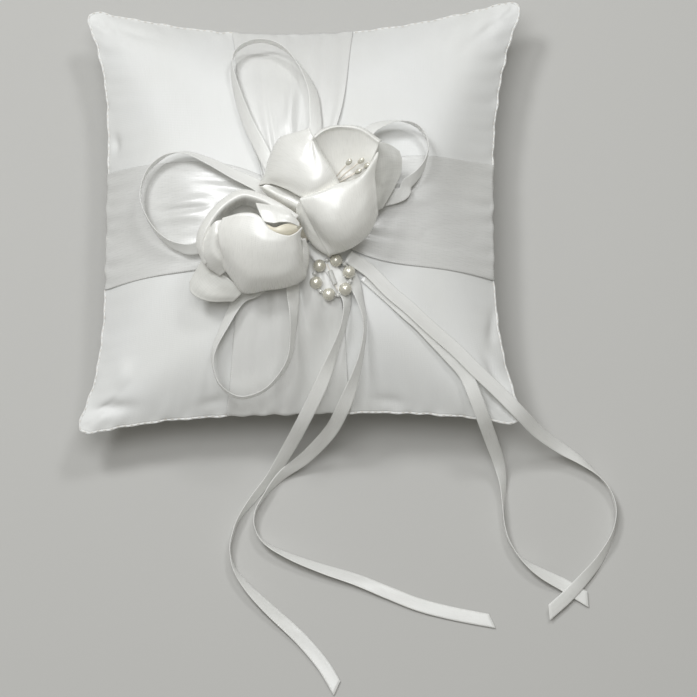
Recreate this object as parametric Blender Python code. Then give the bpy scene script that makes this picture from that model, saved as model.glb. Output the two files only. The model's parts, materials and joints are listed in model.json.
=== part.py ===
# Ring bearer pillow: a satin cushion with two gathered sashes, a bow of narrow ribbon,
# two satin flowers and a small ring of pearls. It lies on its back on Z = 0, its middle
# over the origin, and the flowers face up. Lengths are in metres and angles in degrees.

import math

import bmesh
import bpy
from mathutils import Matrix, Vector

# Pillow: corners of the seam, how far each side pulls in at its middle, and the fill's height
cornerTopLeft = Vector((-0.103, 0.0995))
cornerTopRight = Vector((0.104, 0.1045))
cornerBottomLeft = Vector((-0.104, -0.1045))
cornerBottomRight = Vector((0.102, -0.1))
pullLeft = 0.0115
pullRight = 0.0135
pullTop = 0.0135
pullBottom = 0.007
halfSide = 0.095
seamHeight = 0.028
frontRise = 0.035
backRise = 0.034
seamGap = 0.0003
coverThickness = 0.0008
fillClearance = 0.0006
fillRimInset = 0.003
coverSteps = 14

# Sashes: half widths across the pillow's -1 to 1 span, at the seams and at the gathered middle
sashThickness = 0.0005
sashLift = 0.0005
sashOverLift = 0.0014
sashSeamHalf = 0.3
sashMiddleHalf = 0.13
sashReach = 0.985
sashAcrossMiddle = -0.06
sashDownMiddle = -0.05
sashSteps = 26
sashColumns = 5

# Narrow ribbon
ribbonWidth = 0.006
ribbonThickness = 0.0004
ribbonStep = 0.0065

# Binding and felt disc that the flowers, loops and tails are stitched to
knotCentre = Vector((-0.004, -0.011, 0.0))
feltRadius = 0.0135
feltThickness = 0.0012
feltHeight = 0.0668
feltSides = 24
bindingRadius = 0.006
bindingThread = 0.0006
bindingHeight = 0.0657
bindingSteps = 20

# Flowers: centre, half sizes, and how far and which way the mouth leans
budCentre = Vector((-0.023, -0.026, 0.0825))
budRadii = Vector((0.022, 0.0205, 0.0155))
budLean = 14
budHeading = 90
openCentre = Vector((0.012, -0.001, 0.0850))
openRadii = Vector((0.022, 0.0245, 0.016))
openLean = 24
openHeading = 40
petalThickness = 0.0007
petalLayer = 0.0016
petalSteps = 6
sheerThickness = 0.0004
openCoreCentre = Vector((0.0095, -0.003, 0.0745))
openCoreRadii = Vector((0.0045, 0.0045, 0.0042))

# Sheer petals: where each starts and ends in plan, its half width and its height over the pillow
sheerPetals = {
    "sheer_petal_left": (Vector((-0.02, -0.029)), Vector((-0.049, -0.037)), 0.0085, 0.0042),
    "sheer_petal_right": (Vector((0.02, 0.006)), Vector((0.0455, 0.014)), 0.0105, 0.0053),
}

# Stamens
stemRadius = 0.0004
stemFoot = Vector((0.0145, 0.0005, 0.0795))
stemSpread = 0.28
stamenTips = (
    Vector((0.0222, 0.0092, 0.0885)),
    Vector((0.0277, 0.0098, 0.0885)),
    Vector((0.0306, 0.0078, 0.0875)),
    Vector((0.0265, 0.005, 0.0875)),
)
riceHalfLength = 0.0018
riceRadius = 0.0009

# Bead ring
ringCentre = Vector((0.0146, -0.0397, 0.0662))
ringTilt = 9
ringRadius = 0.008
ringPhase = 18
pearlCount = 6
pearlRadius = 0.003
pearlBore = 0.00045
seedRadius = 0.001
seedBore = 0.00042
wireRadius = 0.00036
rodHalfLength = 0.0035
rodRadius = 0.0012
rodBore = 0.0003
threadRadius = 0.00022
strandTurn = 93
hangingThread = Vector((-0.0045, 0.009, 0.0006))
touchGap = 0.0003

# Routes of the ribbons: x, y, z and the lean of the ribbon's width, 0 flat and 90 on edge
loopRoutes = {
    "loop_upper": (
        (-0.0091, 0.0031, 0.0658, 5),
        (-0.0182, 0.0213, 0.0653, 20),
        (-0.0254, 0.0366, 0.0630, 40),
        (-0.0312, 0.0548, 0.0592, 65),
        (-0.0329, 0.0672, 0.0552, 85),
        (-0.0293, 0.0751, 0.0525, 90),
        (-0.0199, 0.0788, 0.0515, 90),
        (-0.0094, 0.0749, 0.0532, 90),
        (-0.0008, 0.0645, 0.0575, 75),
        (0.0049, 0.0521, 0.0612, 50),
        (0.0064, 0.0403, 0.0632, 30),
        (0.0059, 0.0286, 0.0651, 15),
        (-0.0014, 0.0042, 0.0662, 5),
    ),
    "loop_left": (
        (-0.0155, -0.0014, 0.0662, 170),
        (-0.0194, 0.0035, 0.0668, 165),
        (-0.0316, 0.0100, 0.0656, 150),
        (-0.0424, 0.0162, 0.0640, 135),
        (-0.0533, 0.0212, 0.0612, 115),
        (-0.0613, 0.0212, 0.0592, 100),
        (-0.0679, 0.0179, 0.0568, 90),
        (-0.0727, 0.0126, 0.0550, 90),
        (-0.0750, 0.0057, 0.0540, 90),
        (-0.0749, -0.0011, 0.0540, 90),
        (-0.0714, -0.0097, 0.0558, 95),
        (-0.0656, -0.0180, 0.0580, 105),
        (-0.0575, -0.0237, 0.0602, 130),
        (-0.0467, -0.0245, 0.0624, 155),
        (-0.0188, -0.0136, 0.0656, 175),
    ),
    "loop_lower": (
        (-0.0115, -0.0240, 0.0648, 175),
        (-0.0179, -0.0427, 0.0632, 165),
        (-0.0281, -0.0491, 0.0612, 150),
        (-0.0355, -0.0611, 0.0576, 130),
        (-0.0402, -0.0713, 0.0545, 110),
        (-0.0407, -0.0783, 0.0520, 95),
        (-0.0380, -0.0860, 0.0482, 90),
        (-0.0317, -0.0909, 0.0450, 90),
        (-0.0252, -0.0918, 0.0448, 90),
        (-0.0163, -0.0887, 0.0480, 90),
        (-0.0088, -0.0816, 0.0524, 100),
        (-0.0050, -0.0742, 0.0554, 120),
        (-0.0036, -0.0644, 0.0575, 145),
        (-0.0032, -0.0551, 0.0602, 165),
        (-0.0036, -0.0457, 0.0624, 175),
        (-0.0040, -0.0265, 0.0650, 175),
    ),
    "loop_right": (
        (0.0066, -0.0004, 0.0662, 5),
        (0.0150, 0.0090, 0.0652, 5),
        (0.0306, 0.0293, 0.0650, 30),
        (0.0372, 0.0341, 0.0640, 50),
        (0.0460, 0.0364, 0.0622, 75),
        (0.0545, 0.0340, 0.0603, 90),
        (0.0591, 0.0264, 0.0598, 90),
        (0.0581, 0.0180, 0.0602, 85),
        (0.0544, 0.0110, 0.0612, 65),
        (0.0492, 0.0059, 0.0622, 40),
        (0.0441, -0.0005, 0.0635, 15),
        (0.0108, -0.0084, 0.0658, 5),
    ),
}
tailRoutes = {
    "tail_long": (
        (0.0028, -0.0244, 0.0645, 0),
        (0.0135, -0.0350, 0.0624, 0),
        (0.0183, -0.0420, 0.0612, 0),
        (0.0213, -0.0499, 0.0596, 0),
        (0.0199, -0.0599, 0.0576, 0),
        (0.0153, -0.0721, 0.0540, 0),
        (0.0088, -0.0875, 0.0478, 0),
        (0.0016, -0.0998, 0.0350, 5),
        (-0.0057, -0.1098, 0.0170, 22),
        (-0.0143, -0.1216, 0.0050, 52),
        (-0.0232, -0.1327, 0.0033, 65),
        (-0.0303, -0.1428, 0.0033, 85),
        (-0.0335, -0.1523, 0.0033, 90),
        (-0.0339, -0.1585, 0.0033, 90),
        (-0.0315, -0.1666, 0.0032, 75),
        (-0.0249, -0.1755, 0.0026, 50),
        (-0.0150, -0.1854, 0.0018, 28),
        (-0.0008, -0.1985, 0.0009, 10),
        (0.0100, -0.2112, 0.0005, 3),
        (0.0166, -0.2220, 0.0004, 0),
    ),
    "tail_short": (
        (0.0195, -0.0330, 0.0632, 0),
        (0.0238, -0.0400, 0.0621, 0),
        (0.0273, -0.0491, 0.0603, 0),
        (0.0296, -0.0600, 0.0586, 0),
        (0.0282, -0.0723, 0.0542, 0),
        (0.0245, -0.0846, 0.0500, 0),
        (0.0194, -0.0962, 0.0410, 5),
        (0.0133, -0.1042, 0.0240, 12),
        (0.0019, -0.1136, 0.0090, 30),
        (-0.0100, -0.1217, 0.0036, 56),
        (-0.0180, -0.1313, 0.0034, 85),
        (-0.0223, -0.1394, 0.0033, 90),
        (-0.0222, -0.1471, 0.0033, 90),
        (-0.0170, -0.1542, 0.0032, 75),
        (-0.0051, -0.1604, 0.0028, 55),
        (0.0100, -0.1660, 0.0022, 38),
        (0.0260, -0.1711, 0.0015, 22),
        (0.0411, -0.1772, 0.0009, 10),
        (0.0557, -0.1829, 0.0006, 4),
        (0.0722, -0.1871, 0.0004, 0),
        (0.0896, -0.1904, 0.0004, 0),
    ),
    "tail_outer": (
        (0.0218, -0.0298, 0.0662, 0),
        (0.0315, -0.0358, 0.0632, 0),
        (0.0412, -0.0449, 0.0595, 0),
        (0.0496, -0.0515, 0.0565, 0),
        (0.0603, -0.0607, 0.0524, 0),
        (0.0720, -0.0701, 0.0476, 0),
        (0.0809, -0.0783, 0.0438, 0),
        (0.0926, -0.0885, 0.0385, 0),
        (0.1016, -0.0965, 0.0330, 0),
        (0.1112, -0.1034, 0.0200, 5),
        (0.1222, -0.1090, 0.0090, 20),
        (0.1329, -0.1150, 0.0045, 50),
        (0.1413, -0.1222, 0.0034, 80),
        (0.1464, -0.1298, 0.0033, 90),
        (0.1486, -0.1390, 0.0033, 90),
        (0.1466, -0.1499, 0.0033, 80),
        (0.1407, -0.1613, 0.0034, 55),
        (0.1326, -0.1712, 0.0032, 35),
        (0.1245, -0.1796, 0.0029, 20),
        (0.1164, -0.1867, 0.0027, 15),
    ),
    "tail_inner": (
        (0.0296, -0.0376, 0.0613, 0),
        (0.0400, -0.0462, 0.0579, 0),
        (0.0491, -0.0540, 0.0549, 0),
        (0.0552, -0.0589, 0.0526, 0),
        (0.0612, -0.0648, 0.0500, 0),
        (0.0687, -0.0722, 0.0466, 0),
        (0.0762, -0.0803, 0.0430, 0),
        (0.0813, -0.0911, 0.0395, 0),
        (0.0853, -0.1001, 0.0320, 0),
        (0.0895, -0.1081, 0.0190, 5),
        (0.0933, -0.1162, 0.0085, 25),
        (0.0952, -0.1252, 0.0042, 55),
        (0.0952, -0.1351, 0.0034, 80),
        (0.0956, -0.1447, 0.0033, 90),
        (0.0978, -0.1528, 0.0033, 90),
        (0.1034, -0.1609, 0.0033, 75),
        (0.1123, -0.1676, 0.0028, 40),
        (0.1236, -0.1735, 0.0014, 12),
        (0.1348, -0.1802, 0.0006, 3),
    ),
}


def clearScene():
    for item in list(bpy.data.objects):
        bpy.data.objects.remove(item)


def makeMaterial(name, colour, roughness, metallic=0.0, alpha=1.0):
    material = bpy.data.materials.new(name)
    material.use_nodes = True
    shader = material.node_tree.nodes["Principled BSDF"]
    shader.inputs["Base Color"].default_value = (*colour, 1.0)
    shader.inputs["Roughness"].default_value = roughness
    shader.inputs["Metallic"].default_value = metallic
    shader.inputs["Alpha"].default_value = alpha
    return material


def addMesh(name, builder, material, smooth=True):
    # turns a finished bmesh into a closed, outward-facing object; triangles keep twisted faces exact
    bmesh.ops.triangulate(builder, faces=builder.faces)
    bmesh.ops.recalc_face_normals(builder, faces=builder.faces)
    if builder.calc_volume(signed=True) < 0:
        bmesh.ops.reverse_faces(builder, faces=builder.faces)
    mesh = bpy.data.meshes.new(name)
    builder.to_mesh(mesh)
    builder.free()
    for polygon in mesh.polygons:
        polygon.use_smooth = smooth
    mesh.materials.append(material)
    item = bpy.data.objects.new(name, mesh)
    bpy.context.scene.collection.objects.link(item)
    return item


def addShell(name, outer, inner, material):
    # two equal grids of points, outer and inner, joined round their rims
    builder = bmesh.new()
    rows = len(outer)
    columns = len(outer[0])
    top = [[builder.verts.new(point) for point in row] for row in outer]
    bottom = [[builder.verts.new(point) for point in row] for row in inner]
    for row in range(rows - 1):
        for column in range(columns - 1):
            cell = ((row, column), (row + 1, column), (row + 1, column + 1), (row, column + 1))
            builder.faces.new([top[i][j] for i, j in cell])
            builder.faces.new([bottom[i][j] for i, j in reversed(cell)])
    rim = [(0, column) for column in range(columns - 1)]
    rim += [(row, columns - 1) for row in range(rows - 1)]
    rim += [(rows - 1, column) for column in range(columns - 1, 0, -1)]
    rim += [(row, 0) for row in range(rows - 1, 0, -1)]
    for here, after in zip(rim, rim[1:] + rim[:1]):
        builder.faces.new((
            top[here[0]][here[1]],
            top[after[0]][after[1]],
            bottom[after[0]][after[1]],
            bottom[here[0]][here[1]],
        ))
    return addMesh(name, builder, material)


def addLoft(name, sections, material, closed=False, smooth=True):
    # sections are equal rings of points; an open loft gets a flat cap at each end
    builder = bmesh.new()
    rings = [[builder.verts.new(point) for point in section] for section in sections]
    pairs = list(zip(rings, rings[1:]))
    if closed:
        pairs.append((rings[-1], rings[0]))
    for first, second in pairs:
        for side in range(len(first)):
            after = (side + 1) % len(first)
            builder.faces.new((first[side], first[after], second[after], second[side]))
    if not closed:
        builder.faces.new(rings[0])
        builder.faces.new(list(reversed(rings[-1])))
    return addMesh(name, builder, material, smooth)


def evenSteps(count, low=-1.0, high=1.0):
    return [low + (high - low) * step / (count - 1) for step in range(count)]


def crowdedSteps(count):
    # -1 to 1, closer together towards the ends, where the pillow turns over
    return [math.sin(math.pi / 2 * value) for value in evenSteps(count)]


def planPoint(u, v):
    # a place in the seam's outline, from u and v between -1 and 1
    corners = (
        cornerTopLeft * ((1 - u) * (1 + v))
        + cornerTopRight * ((1 + u) * (1 + v))
        + cornerBottomLeft * ((1 - u) * (1 - v))
        + cornerBottomRight * ((1 + u) * (1 - v))
    ) / 4
    inX = (pullRight * (1 + u) + pullLeft * (1 - u)) / 2
    inY = (pullTop * (1 + v) + pullBottom * (1 - v)) / 2
    return corners - Vector((inX * u * (1 - v * v), inY * v * (1 - u * u)))


def crown(u, v):
    # 0 at the seam, 1 at the middle, and upright where it meets the seam
    return math.sqrt(max(0.0, 1 - u * u) * max(0.0, 1 - v * v))


def frontPoint(u, v, lift):
    plan = planPoint(u, v) * (1 + lift / halfSide)
    return Vector((plan.x, plan.y, seamHeight + seamGap / 2 + (frontRise + lift) * crown(u, v)))


def backPoint(u, v, lift):
    # the back is flat where the pillow rests, and lift moves that part up as it moves inwards
    plan = planPoint(u, v) * (1 + lift / halfSide)
    depth = seamHeight - seamGap / 2 - (backRise + lift) * crown(u, v)
    return Vector((plan.x, plan.y, max(depth, -lift)))


def spanPlace(x, y):
    # the u and v whose plan point is x, y
    wanted = Vector((x, y))
    place = wanted / halfSide
    for _ in range(12):
        place = place + (wanted - planPoint(place.x, place.y)) / halfSide
    return place


def frontHeight(x, y):
    place = spanPlace(x, y)
    return frontPoint(place.x, place.y, 0.0).z


def makeCovers(satin):
    steps = crowdedSteps(coverSteps + 1)
    outer = [[frontPoint(u, v, 0.0) for v in steps] for u in steps]
    inner = [[frontPoint(u, v, -coverThickness) for v in steps] for u in steps]
    addShell("cover_front", outer, inner, satin)
    outer = [[backPoint(u, v, 0.0) for v in steps] for u in steps]
    inner = [[backPoint(u, v, -coverThickness) for v in steps] for u in steps]
    addShell("cover_back", outer, inner, satin)


def makeFilling(fibre):
    # one lens of fibre, whose upper and lower skins meet in a thin rim
    steps = crowdedSteps(coverSteps + 1)
    inset = coverThickness + fillClearance
    shrink = 1 - fillRimInset / halfSide
    upper = []
    lower = []
    for u in steps:
        upperRow = []
        lowerRow = []
        for v in steps:
            high = frontPoint(u, v, -inset)
            low = backPoint(u, v, -inset)
            plan = planPoint(u, v) * shrink
            upperRow.append(Vector((plan.x, plan.y, high.z + touchGap)))
            lowerRow.append(Vector((plan.x, plan.y, low.z - touchGap)))
        upper.append(upperRow)
        lower.append(lowerRow)
    addShell("fibre_filling", upper, lower, fibre)


def sashHalf(along, reach):
    # half width of a sash, gathered at the middle and full at the seams
    open_ = 1 - math.exp(-((along / reach) ** 2))
    return sashMiddleHalf + (sashSeamHalf - sashMiddleHalf) * open_


def makeSashes(satin):
    across = evenSteps(sashColumns)
    outer = []
    inner = []
    for along in crowdedSteps(sashSteps):
        u = along * sashReach
        row = [sashAcrossMiddle + side * sashHalf(u, 0.28) for side in across]
        outer.append([frontPoint(u, v, sashLift + sashThickness) for v in row])
        inner.append([frontPoint(u, v, sashLift) for v in row])
    addShell("sash_across", outer, inner, satin)
    outer = []
    inner = []
    for along in crowdedSteps(sashSteps):
        v = along * sashReach
        lift = sashLift + (sashOverLift - sashLift) * math.exp(-((v / 0.6) ** 4))
        row = [sashDownMiddle + side * sashHalf(v, 0.42) for side in across]
        outer.append([frontPoint(u, v, lift + sashThickness) for u in row])
        inner.append([frontPoint(u, v, lift) for u in row])
    addShell("sash_down", outer, inner, satin)


def smoothRoute(route, step):
    # even steps along a smooth curve through the route's own points
    points = [Vector(point) for point in route]
    points = [2 * points[0] - points[1], *points, 2 * points[-1] - points[-2]]
    dense = []
    for before, start, end, after in zip(points, points[1:], points[2:], points[3:]):
        for part in range(12):
            t = part / 12
            bend = 2 * start + (end - before) * t
            bend += (2 * before - 5 * start + 4 * end - after) * t ** 2
            bend += (3 * start - before - 3 * end + after) * t ** 3
            dense.append(bend / 2)
    dense.append(points[-2])
    lengths = [0.0]
    for here, after in zip(dense, dense[1:]):
        lengths.append(lengths[-1] + (after.to_3d() - here.to_3d()).length)
    count = max(3, round(lengths[-1] / step) + 1)
    stations = []
    at = 0
    for distance in evenSteps(count, 0.0, lengths[-1]):
        while at < len(dense) - 2 and lengths[at + 1] < distance:
            at += 1
        share = (distance - lengths[at]) / max(1e-9, lengths[at + 1] - lengths[at])
        stations.append(dense[at].lerp(dense[at + 1], min(1.0, share)))
    return stations


def ribbonSections(route):
    # a flat four-cornered section at each station, turned by the ribbon's lean
    stations = smoothRoute(route, ribbonStep)
    sections = []
    for index, station in enumerate(stations):
        here = station.to_3d()
        after = stations[min(index + 1, len(stations) - 1)].to_3d()
        before = stations[max(index - 1, 0)].to_3d()
        along = (after - before).normalized()
        level = along.cross(Vector((0, 0, 1))).normalized()
        upward = level.cross(along)
        lean = math.radians(station[3])
        wide = level * math.cos(lean) + upward * math.sin(lean)
        face = wide.cross(along)
        wide = wide * (ribbonWidth / 2)
        face = face * (ribbonThickness / 2)
        sections.append([here + wide + face, here - wide + face, here - wide - face, here + wide - face])
    return sections


def makeRibbons(ribbon):
    for name, route in {**loopRoutes, **tailRoutes}.items():
        addLoft(name, ribbonSections(route), ribbon, smooth=False)


def circlePoints(centre, radius, sides, plane):
    # plane is a 3x3 matrix whose first two columns span the circle
    turns = [2 * math.pi * side / sides for side in range(sides)]
    return [centre + plane @ Vector((radius * math.cos(a), radius * math.sin(a), 0)) for a in turns]


def makeKnot(felt, thread):
    level = Matrix.Identity(3)
    heights = (feltHeight, feltHeight + feltThickness)
    centres = [knotCentre + Vector((0, 0, height)) for height in heights]
    addLoft("felt_disc", [circlePoints(c, feltRadius, feltSides, level) for c in centres], felt)
    rings = []
    middle = knotCentre + Vector((0, 0, bindingHeight))
    for step in range(bindingSteps):
        angle = 2 * math.pi * step / bindingSteps
        outward = Vector((math.cos(angle), math.sin(angle), 0))
        plane = Matrix((outward, Vector((0, 0, 1)), outward.cross(Vector((0, 0, 1))))).transposed()
        rings.append(circlePoints(middle + outward * bindingRadius, bindingThread, 8, plane))
    addLoft("thread_binding", rings, thread, closed=True)


def flowerFrame(centre, lean, heading):
    turn = Matrix.Rotation(math.radians(heading), 4, "Z")
    tip = Matrix.Rotation(math.radians(lean), 4, "Y")
    return Matrix.Translation(centre) @ turn @ tip @ turn.inverted()


def petalGrid(frame, radii, middle, half, start, end):
    # a patch of an ellipsoid: half is the patch's half turn, start and end are tilts from its foot
    grid = []
    for along in evenSteps(petalSteps + 1, 0.0, 1.0):
        tilt = math.radians(start + (end - start) * along)
        taper = 1 - 0.6 * along ** 3
        row = []
        for side in evenSteps(petalSteps + 1):
            turn = math.radians(middle + half * taper * side)
            reach = math.sin(tilt)
            row.append(frame @ Vector((
                radii.x * reach * math.cos(turn),
                radii.y * reach * math.sin(turn),
                -radii.z * math.cos(tilt),
            )))
        grid.append(row)
    return grid


def makePetals(frame, radii, petals, satin):
    # petals: name, layer from the outside in, middle, half turn, start and end
    for name, layer, middle, half, start, end in petals:
        size = radii - Vector((1, 1, 1)) * (layer * petalLayer)
        thin = size - Vector((1, 1, 1)) * petalThickness
        outer = petalGrid(frame, size, middle, half, start, end)
        inner = petalGrid(frame, thin, middle, half, start, end)
        addShell(name, outer, inner, satin)


def addEgg(name, frame, radii, material, segments=16, rings=8):
    builder = bmesh.new()
    shape = frame @ Matrix.Diagonal((*radii, 1.0))
    bmesh.ops.create_uvsphere(builder, u_segments=segments, v_segments=rings, radius=1.0, matrix=shape)
    return addMesh(name, builder, material)


def makeBud(satin, centreSatin):
    frame = flowerFrame(budCentre, budLean, budHeading)
    makePetals(frame, budRadii, (
        ("bud_petal_back", 0, 110, 52, 32, 118),
        ("bud_petal_left", 0, 212, 40, 32, 112),
        ("bud_petal_front", 0, 298, 40, 32, 122),
        ("bud_petal_right", 0, 16, 34, 32, 108),
        ("bud_petal_inner", 1, 255, 105, 36, 132),
    ), satin)
    core = budRadii - Vector((1, 1, 1)) * (3 * petalLayer)
    addEgg("bud_core", frame, core, centreSatin)


def makeOpenFlower(satin, centreSatin):
    frame = flowerFrame(openCentre, openLean, openHeading)
    makePetals(frame, openRadii, (
        ("open_petal_left", 0, 148, 38, 30, 128),
        ("open_petal_lobe", 0, 216, 24, 30, 92),
        ("open_petal_front", 0, 294, 46, 30, 122),
        ("open_petal_back", 0, 60, 44, 30, 112),
        ("open_petal_under", -1, 254, 30, 34, 66),
    ), satin)
    addEgg("open_core", Matrix.Translation(openCoreCentre), openCoreRadii, centreSatin, 12, 6)


def addSheer(name, root, tip, half, lift, material):
    # a leaf-shaped sheer petal that follows the pillow's front at a distance
    along = tip - root
    length = along.length
    along.normalize()
    side = Vector((-along.y, along.x))
    outer = []
    inner = []
    for share in evenSteps(9, 0.0, 1.0):
        width = half * (0.25 + 0.75 * math.sin(math.pi * min(0.93, 0.12 + 0.8 * share)))
        outerRow = []
        innerRow = []
        for across in evenSteps(5):
            place = root + along * (length * share) + side * (width * across)
            height = frontHeight(place.x, place.y) + lift
            innerRow.append(Vector((place.x, place.y, height)))
            outerRow.append(Vector((place.x, place.y, height + sheerThickness)))
        outer.append(outerRow)
        inner.append(innerRow)
    addShell(name, outer, inner, material)


def makeSheers(sheer):
    for name, (root, tip, half, lift) in sheerPetals.items():
        addSheer(name, root, tip, half, lift, sheer)


def planeAcross(direction):
    # a 3x3 matrix whose third column is the direction
    return direction.to_track_quat("Z", "Y").to_matrix()


def addRod(name, start, end, radius, sides, material):
    plane = planeAcross(end - start)
    sections = [circlePoints(point, radius, sides, plane) for point in (start, end)]
    return addLoft(name, sections, material)


def makeStamens(thread, pearl):
    middle = sum(stamenTips, Vector()) / len(stamenTips)
    for number, tip in enumerate(stamenTips, 1):
        foot = stemFoot + (tip - middle) * stemSpread
        along = (tip - foot).normalized()
        addRod(f"stamen_stem_{number}", foot, tip - along * (riceHalfLength + touchGap), stemRadius, 8, thread)
        frame = Matrix.Translation(tip) @ planeAcross(along).to_4x4()
        size = Vector((riceRadius, riceRadius, riceHalfLength))
        addEgg(f"stamen_pearl_{number}", frame, size, pearl, 10, 6)


def addBead(name, parent, place, axis, radius, bore, rings, sides, material, halfLength=None):
    # a bored bead turned round its own Z, which lies along its place on the wire
    sections = []
    if halfLength:
        profile = [(radius * 0.85, -halfLength), (radius, -halfLength * 0.93)]
        profile += [(radius, halfLength * 0.93), (radius * 0.85, halfLength)]
        profile += [(bore, halfLength), (bore, -halfLength)]
    else:
        tilt = math.asin(bore / radius)
        angles = evenSteps(rings, tilt, math.pi - tilt)
        profile = [(radius * math.sin(a), -radius * math.cos(a)) for a in angles]
    for step in range(sides):
        turn = 2 * math.pi * step / sides
        sections.append([Vector((r * math.cos(turn), r * math.sin(turn), z)) for r, z in profile])
    item = addLoft(name, sections, material, closed=True)
    item.parent = parent
    item.matrix_local = Matrix.Translation(place) @ planeAcross(axis).to_4x4()
    return item


def ringPlace(radius, angle):
    turn = math.radians(angle)
    return Vector((radius * math.cos(turn), radius * math.sin(turn), 0))


def addRing(name, parent, angles, radius, material):
    # the wire bends beside each bead and runs straight inside it
    corners = [ringPlace(radius, angle) for angle in angles]
    sections = []
    for before, here, after in zip(corners[-1:] + corners[:-1], corners, corners[1:] + corners[:1]):
        along = (after - before).normalized()
        bend = (here - before).angle(after - here) / 2
        outward = here.normalized()
        turns = [2 * math.pi * side / 8 for side in range(8)]
        sections.append([
            here + outward * (wireRadius * math.cos(a) / math.cos(bend))
            + outward.cross(along) * (wireRadius * math.sin(a))
            for a in turns
        ])
    item = addLoft(name, sections, material, closed=True)
    item.parent = parent
    return item


def makeBeadRing(pearl, glass, wire, thread):
    # the empty stands where the ring hangs from its thread; the ring turns up about its X
    cornerAngle = math.degrees(math.atan2(pearlRadius, ringRadius))
    cornerRadius = math.hypot(pearlRadius, ringRadius)
    pitch = 360 / pearlCount
    hang = ringPlace(cornerRadius, ringPhase + pitch + cornerAngle)
    tilt = Matrix.Rotation(math.radians(ringTilt), 4, "X")
    pivot = bpy.data.objects.new("ring_pivot", None)
    bpy.context.scene.collection.objects.link(pivot)
    pivot.matrix_world = Matrix.Translation(ringCentre) @ tilt @ Matrix.Translation(hang)
    seat = bpy.data.objects.new("ring_seat", None)
    bpy.context.scene.collection.objects.link(seat)
    seat.parent = pivot
    seat.matrix_local = Matrix.Translation(-hang)
    corners = []
    for number in range(pearlCount):
        angle = ringPhase + pitch * number
        corners += [angle - cornerAngle, angle + cornerAngle]
        tangent = ringPlace(1.0, angle + 90)
        place = ringPlace(ringRadius, angle)
        addBead(f"pearl_{number + 1}", seat, place, tangent, pearlRadius, pearlBore, 9, 12, pearl)
        seedAngle = angle + pitch / 2
        seedPlace = ringPlace(cornerRadius * math.cos(math.radians(pitch / 2 - cornerAngle)), seedAngle)
        tangent = ringPlace(1.0, seedAngle + 90)
        addBead(f"seed_bead_{number + 1}", seat, seedPlace, tangent, seedRadius, seedBore, 5, 10, glass)
    addRing("bead_wire", seat, corners, cornerRadius, wire)
    strandAngle = ringPhase + strandTurn
    reach = cornerRadius - 2 * seedRadius
    strand = [ringPlace(reach, strandAngle), ringPlace(reach, strandAngle + 180)]
    item = addRod("rod_bead_thread", strand[0], strand[1], threadRadius, 8, thread)
    item.parent = seat
    axis = (strand[1] - strand[0]).normalized()
    addBead("rod_bead", seat, Vector((0, 0, 0)), axis, rodRadius, rodBore, 0, 12, glass, rodHalfLength)
    bpy.context.view_layer.update()
    top = pivot.matrix_world.translation
    knot = top + hangingThread
    near = top + (knot - top).normalized() * (wireRadius + 2 * touchGap)
    addRod("ring_hanging_thread", near, knot, threadRadius, 8, thread)


def main():
    clearScene()
    coverSatin = makeMaterial("cover_satin", (0.78, 0.78, 0.78), 0.45)
    sashSatin = makeMaterial("sash_satin", (0.8, 0.8, 0.79), 0.3)
    ribbonSatin = makeMaterial("ribbon_satin", (0.83, 0.83, 0.81), 0.3)
    petalSatin = makeMaterial("petal_satin", (0.84, 0.83, 0.79), 0.32)
    centreSatin = makeMaterial("centre_satin", (0.76, 0.71, 0.58), 0.4)
    sheer = makeMaterial("sheer_fabric", (0.72, 0.71, 0.66), 0.5, alpha=0.7)
    fibre = makeMaterial("fibre_fill", (0.9, 0.9, 0.9), 0.9)
    felt = makeMaterial("felt", (0.82, 0.8, 0.74), 0.95)
    thread = makeMaterial("sewing_thread", (0.8, 0.78, 0.7), 0.6)
    pearl = makeMaterial("pearl_coat", (0.82, 0.8, 0.72), 0.15)
    glass = makeMaterial("clear_glass", (0.9, 0.9, 0.88), 0.05, alpha=0.35)
    wire = makeMaterial("bead_cord", (0.85, 0.85, 0.82), 0.3)
    makeCovers(coverSatin)
    makeFilling(fibre)
    makeSashes(sashSatin)
    makeKnot(felt, thread)
    makeRibbons(ribbonSatin)
    makeSheers(sheer)
    makeBud(petalSatin, centreSatin)
    makeOpenFlower(petalSatin, centreSatin)
    makeStamens(thread, pearl)
    makeBeadRing(pearl, glass, wire, thread)


main()
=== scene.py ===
# Ring bearer pillow: a puckered satin cushion with two gathered sashes, a bow of narrow
# ribbon, two satin flowers and a ring of pearls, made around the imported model.
# Lengths are in metres and angles in degrees, in the model's own frame.

import json
import math

import bpy
import numpy as np
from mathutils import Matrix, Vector, noise
from mathutils.bvhtree import BVHTree


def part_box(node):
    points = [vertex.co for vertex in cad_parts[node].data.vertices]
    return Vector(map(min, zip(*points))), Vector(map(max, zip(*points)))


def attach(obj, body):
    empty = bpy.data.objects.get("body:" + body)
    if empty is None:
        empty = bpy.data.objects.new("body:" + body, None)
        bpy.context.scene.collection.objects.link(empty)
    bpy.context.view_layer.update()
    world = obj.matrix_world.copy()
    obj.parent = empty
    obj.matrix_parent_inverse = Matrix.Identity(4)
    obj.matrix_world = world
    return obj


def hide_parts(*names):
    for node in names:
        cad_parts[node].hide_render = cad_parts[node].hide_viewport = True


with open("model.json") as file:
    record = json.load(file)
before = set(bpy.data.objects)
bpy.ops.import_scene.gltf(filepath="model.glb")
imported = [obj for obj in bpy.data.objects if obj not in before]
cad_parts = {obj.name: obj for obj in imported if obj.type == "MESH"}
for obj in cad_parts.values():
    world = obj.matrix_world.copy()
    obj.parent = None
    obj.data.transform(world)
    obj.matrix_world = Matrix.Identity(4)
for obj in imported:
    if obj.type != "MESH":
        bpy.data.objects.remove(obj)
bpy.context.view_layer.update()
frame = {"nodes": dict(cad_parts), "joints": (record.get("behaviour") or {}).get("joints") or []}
scene = bpy.context.scene
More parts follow.
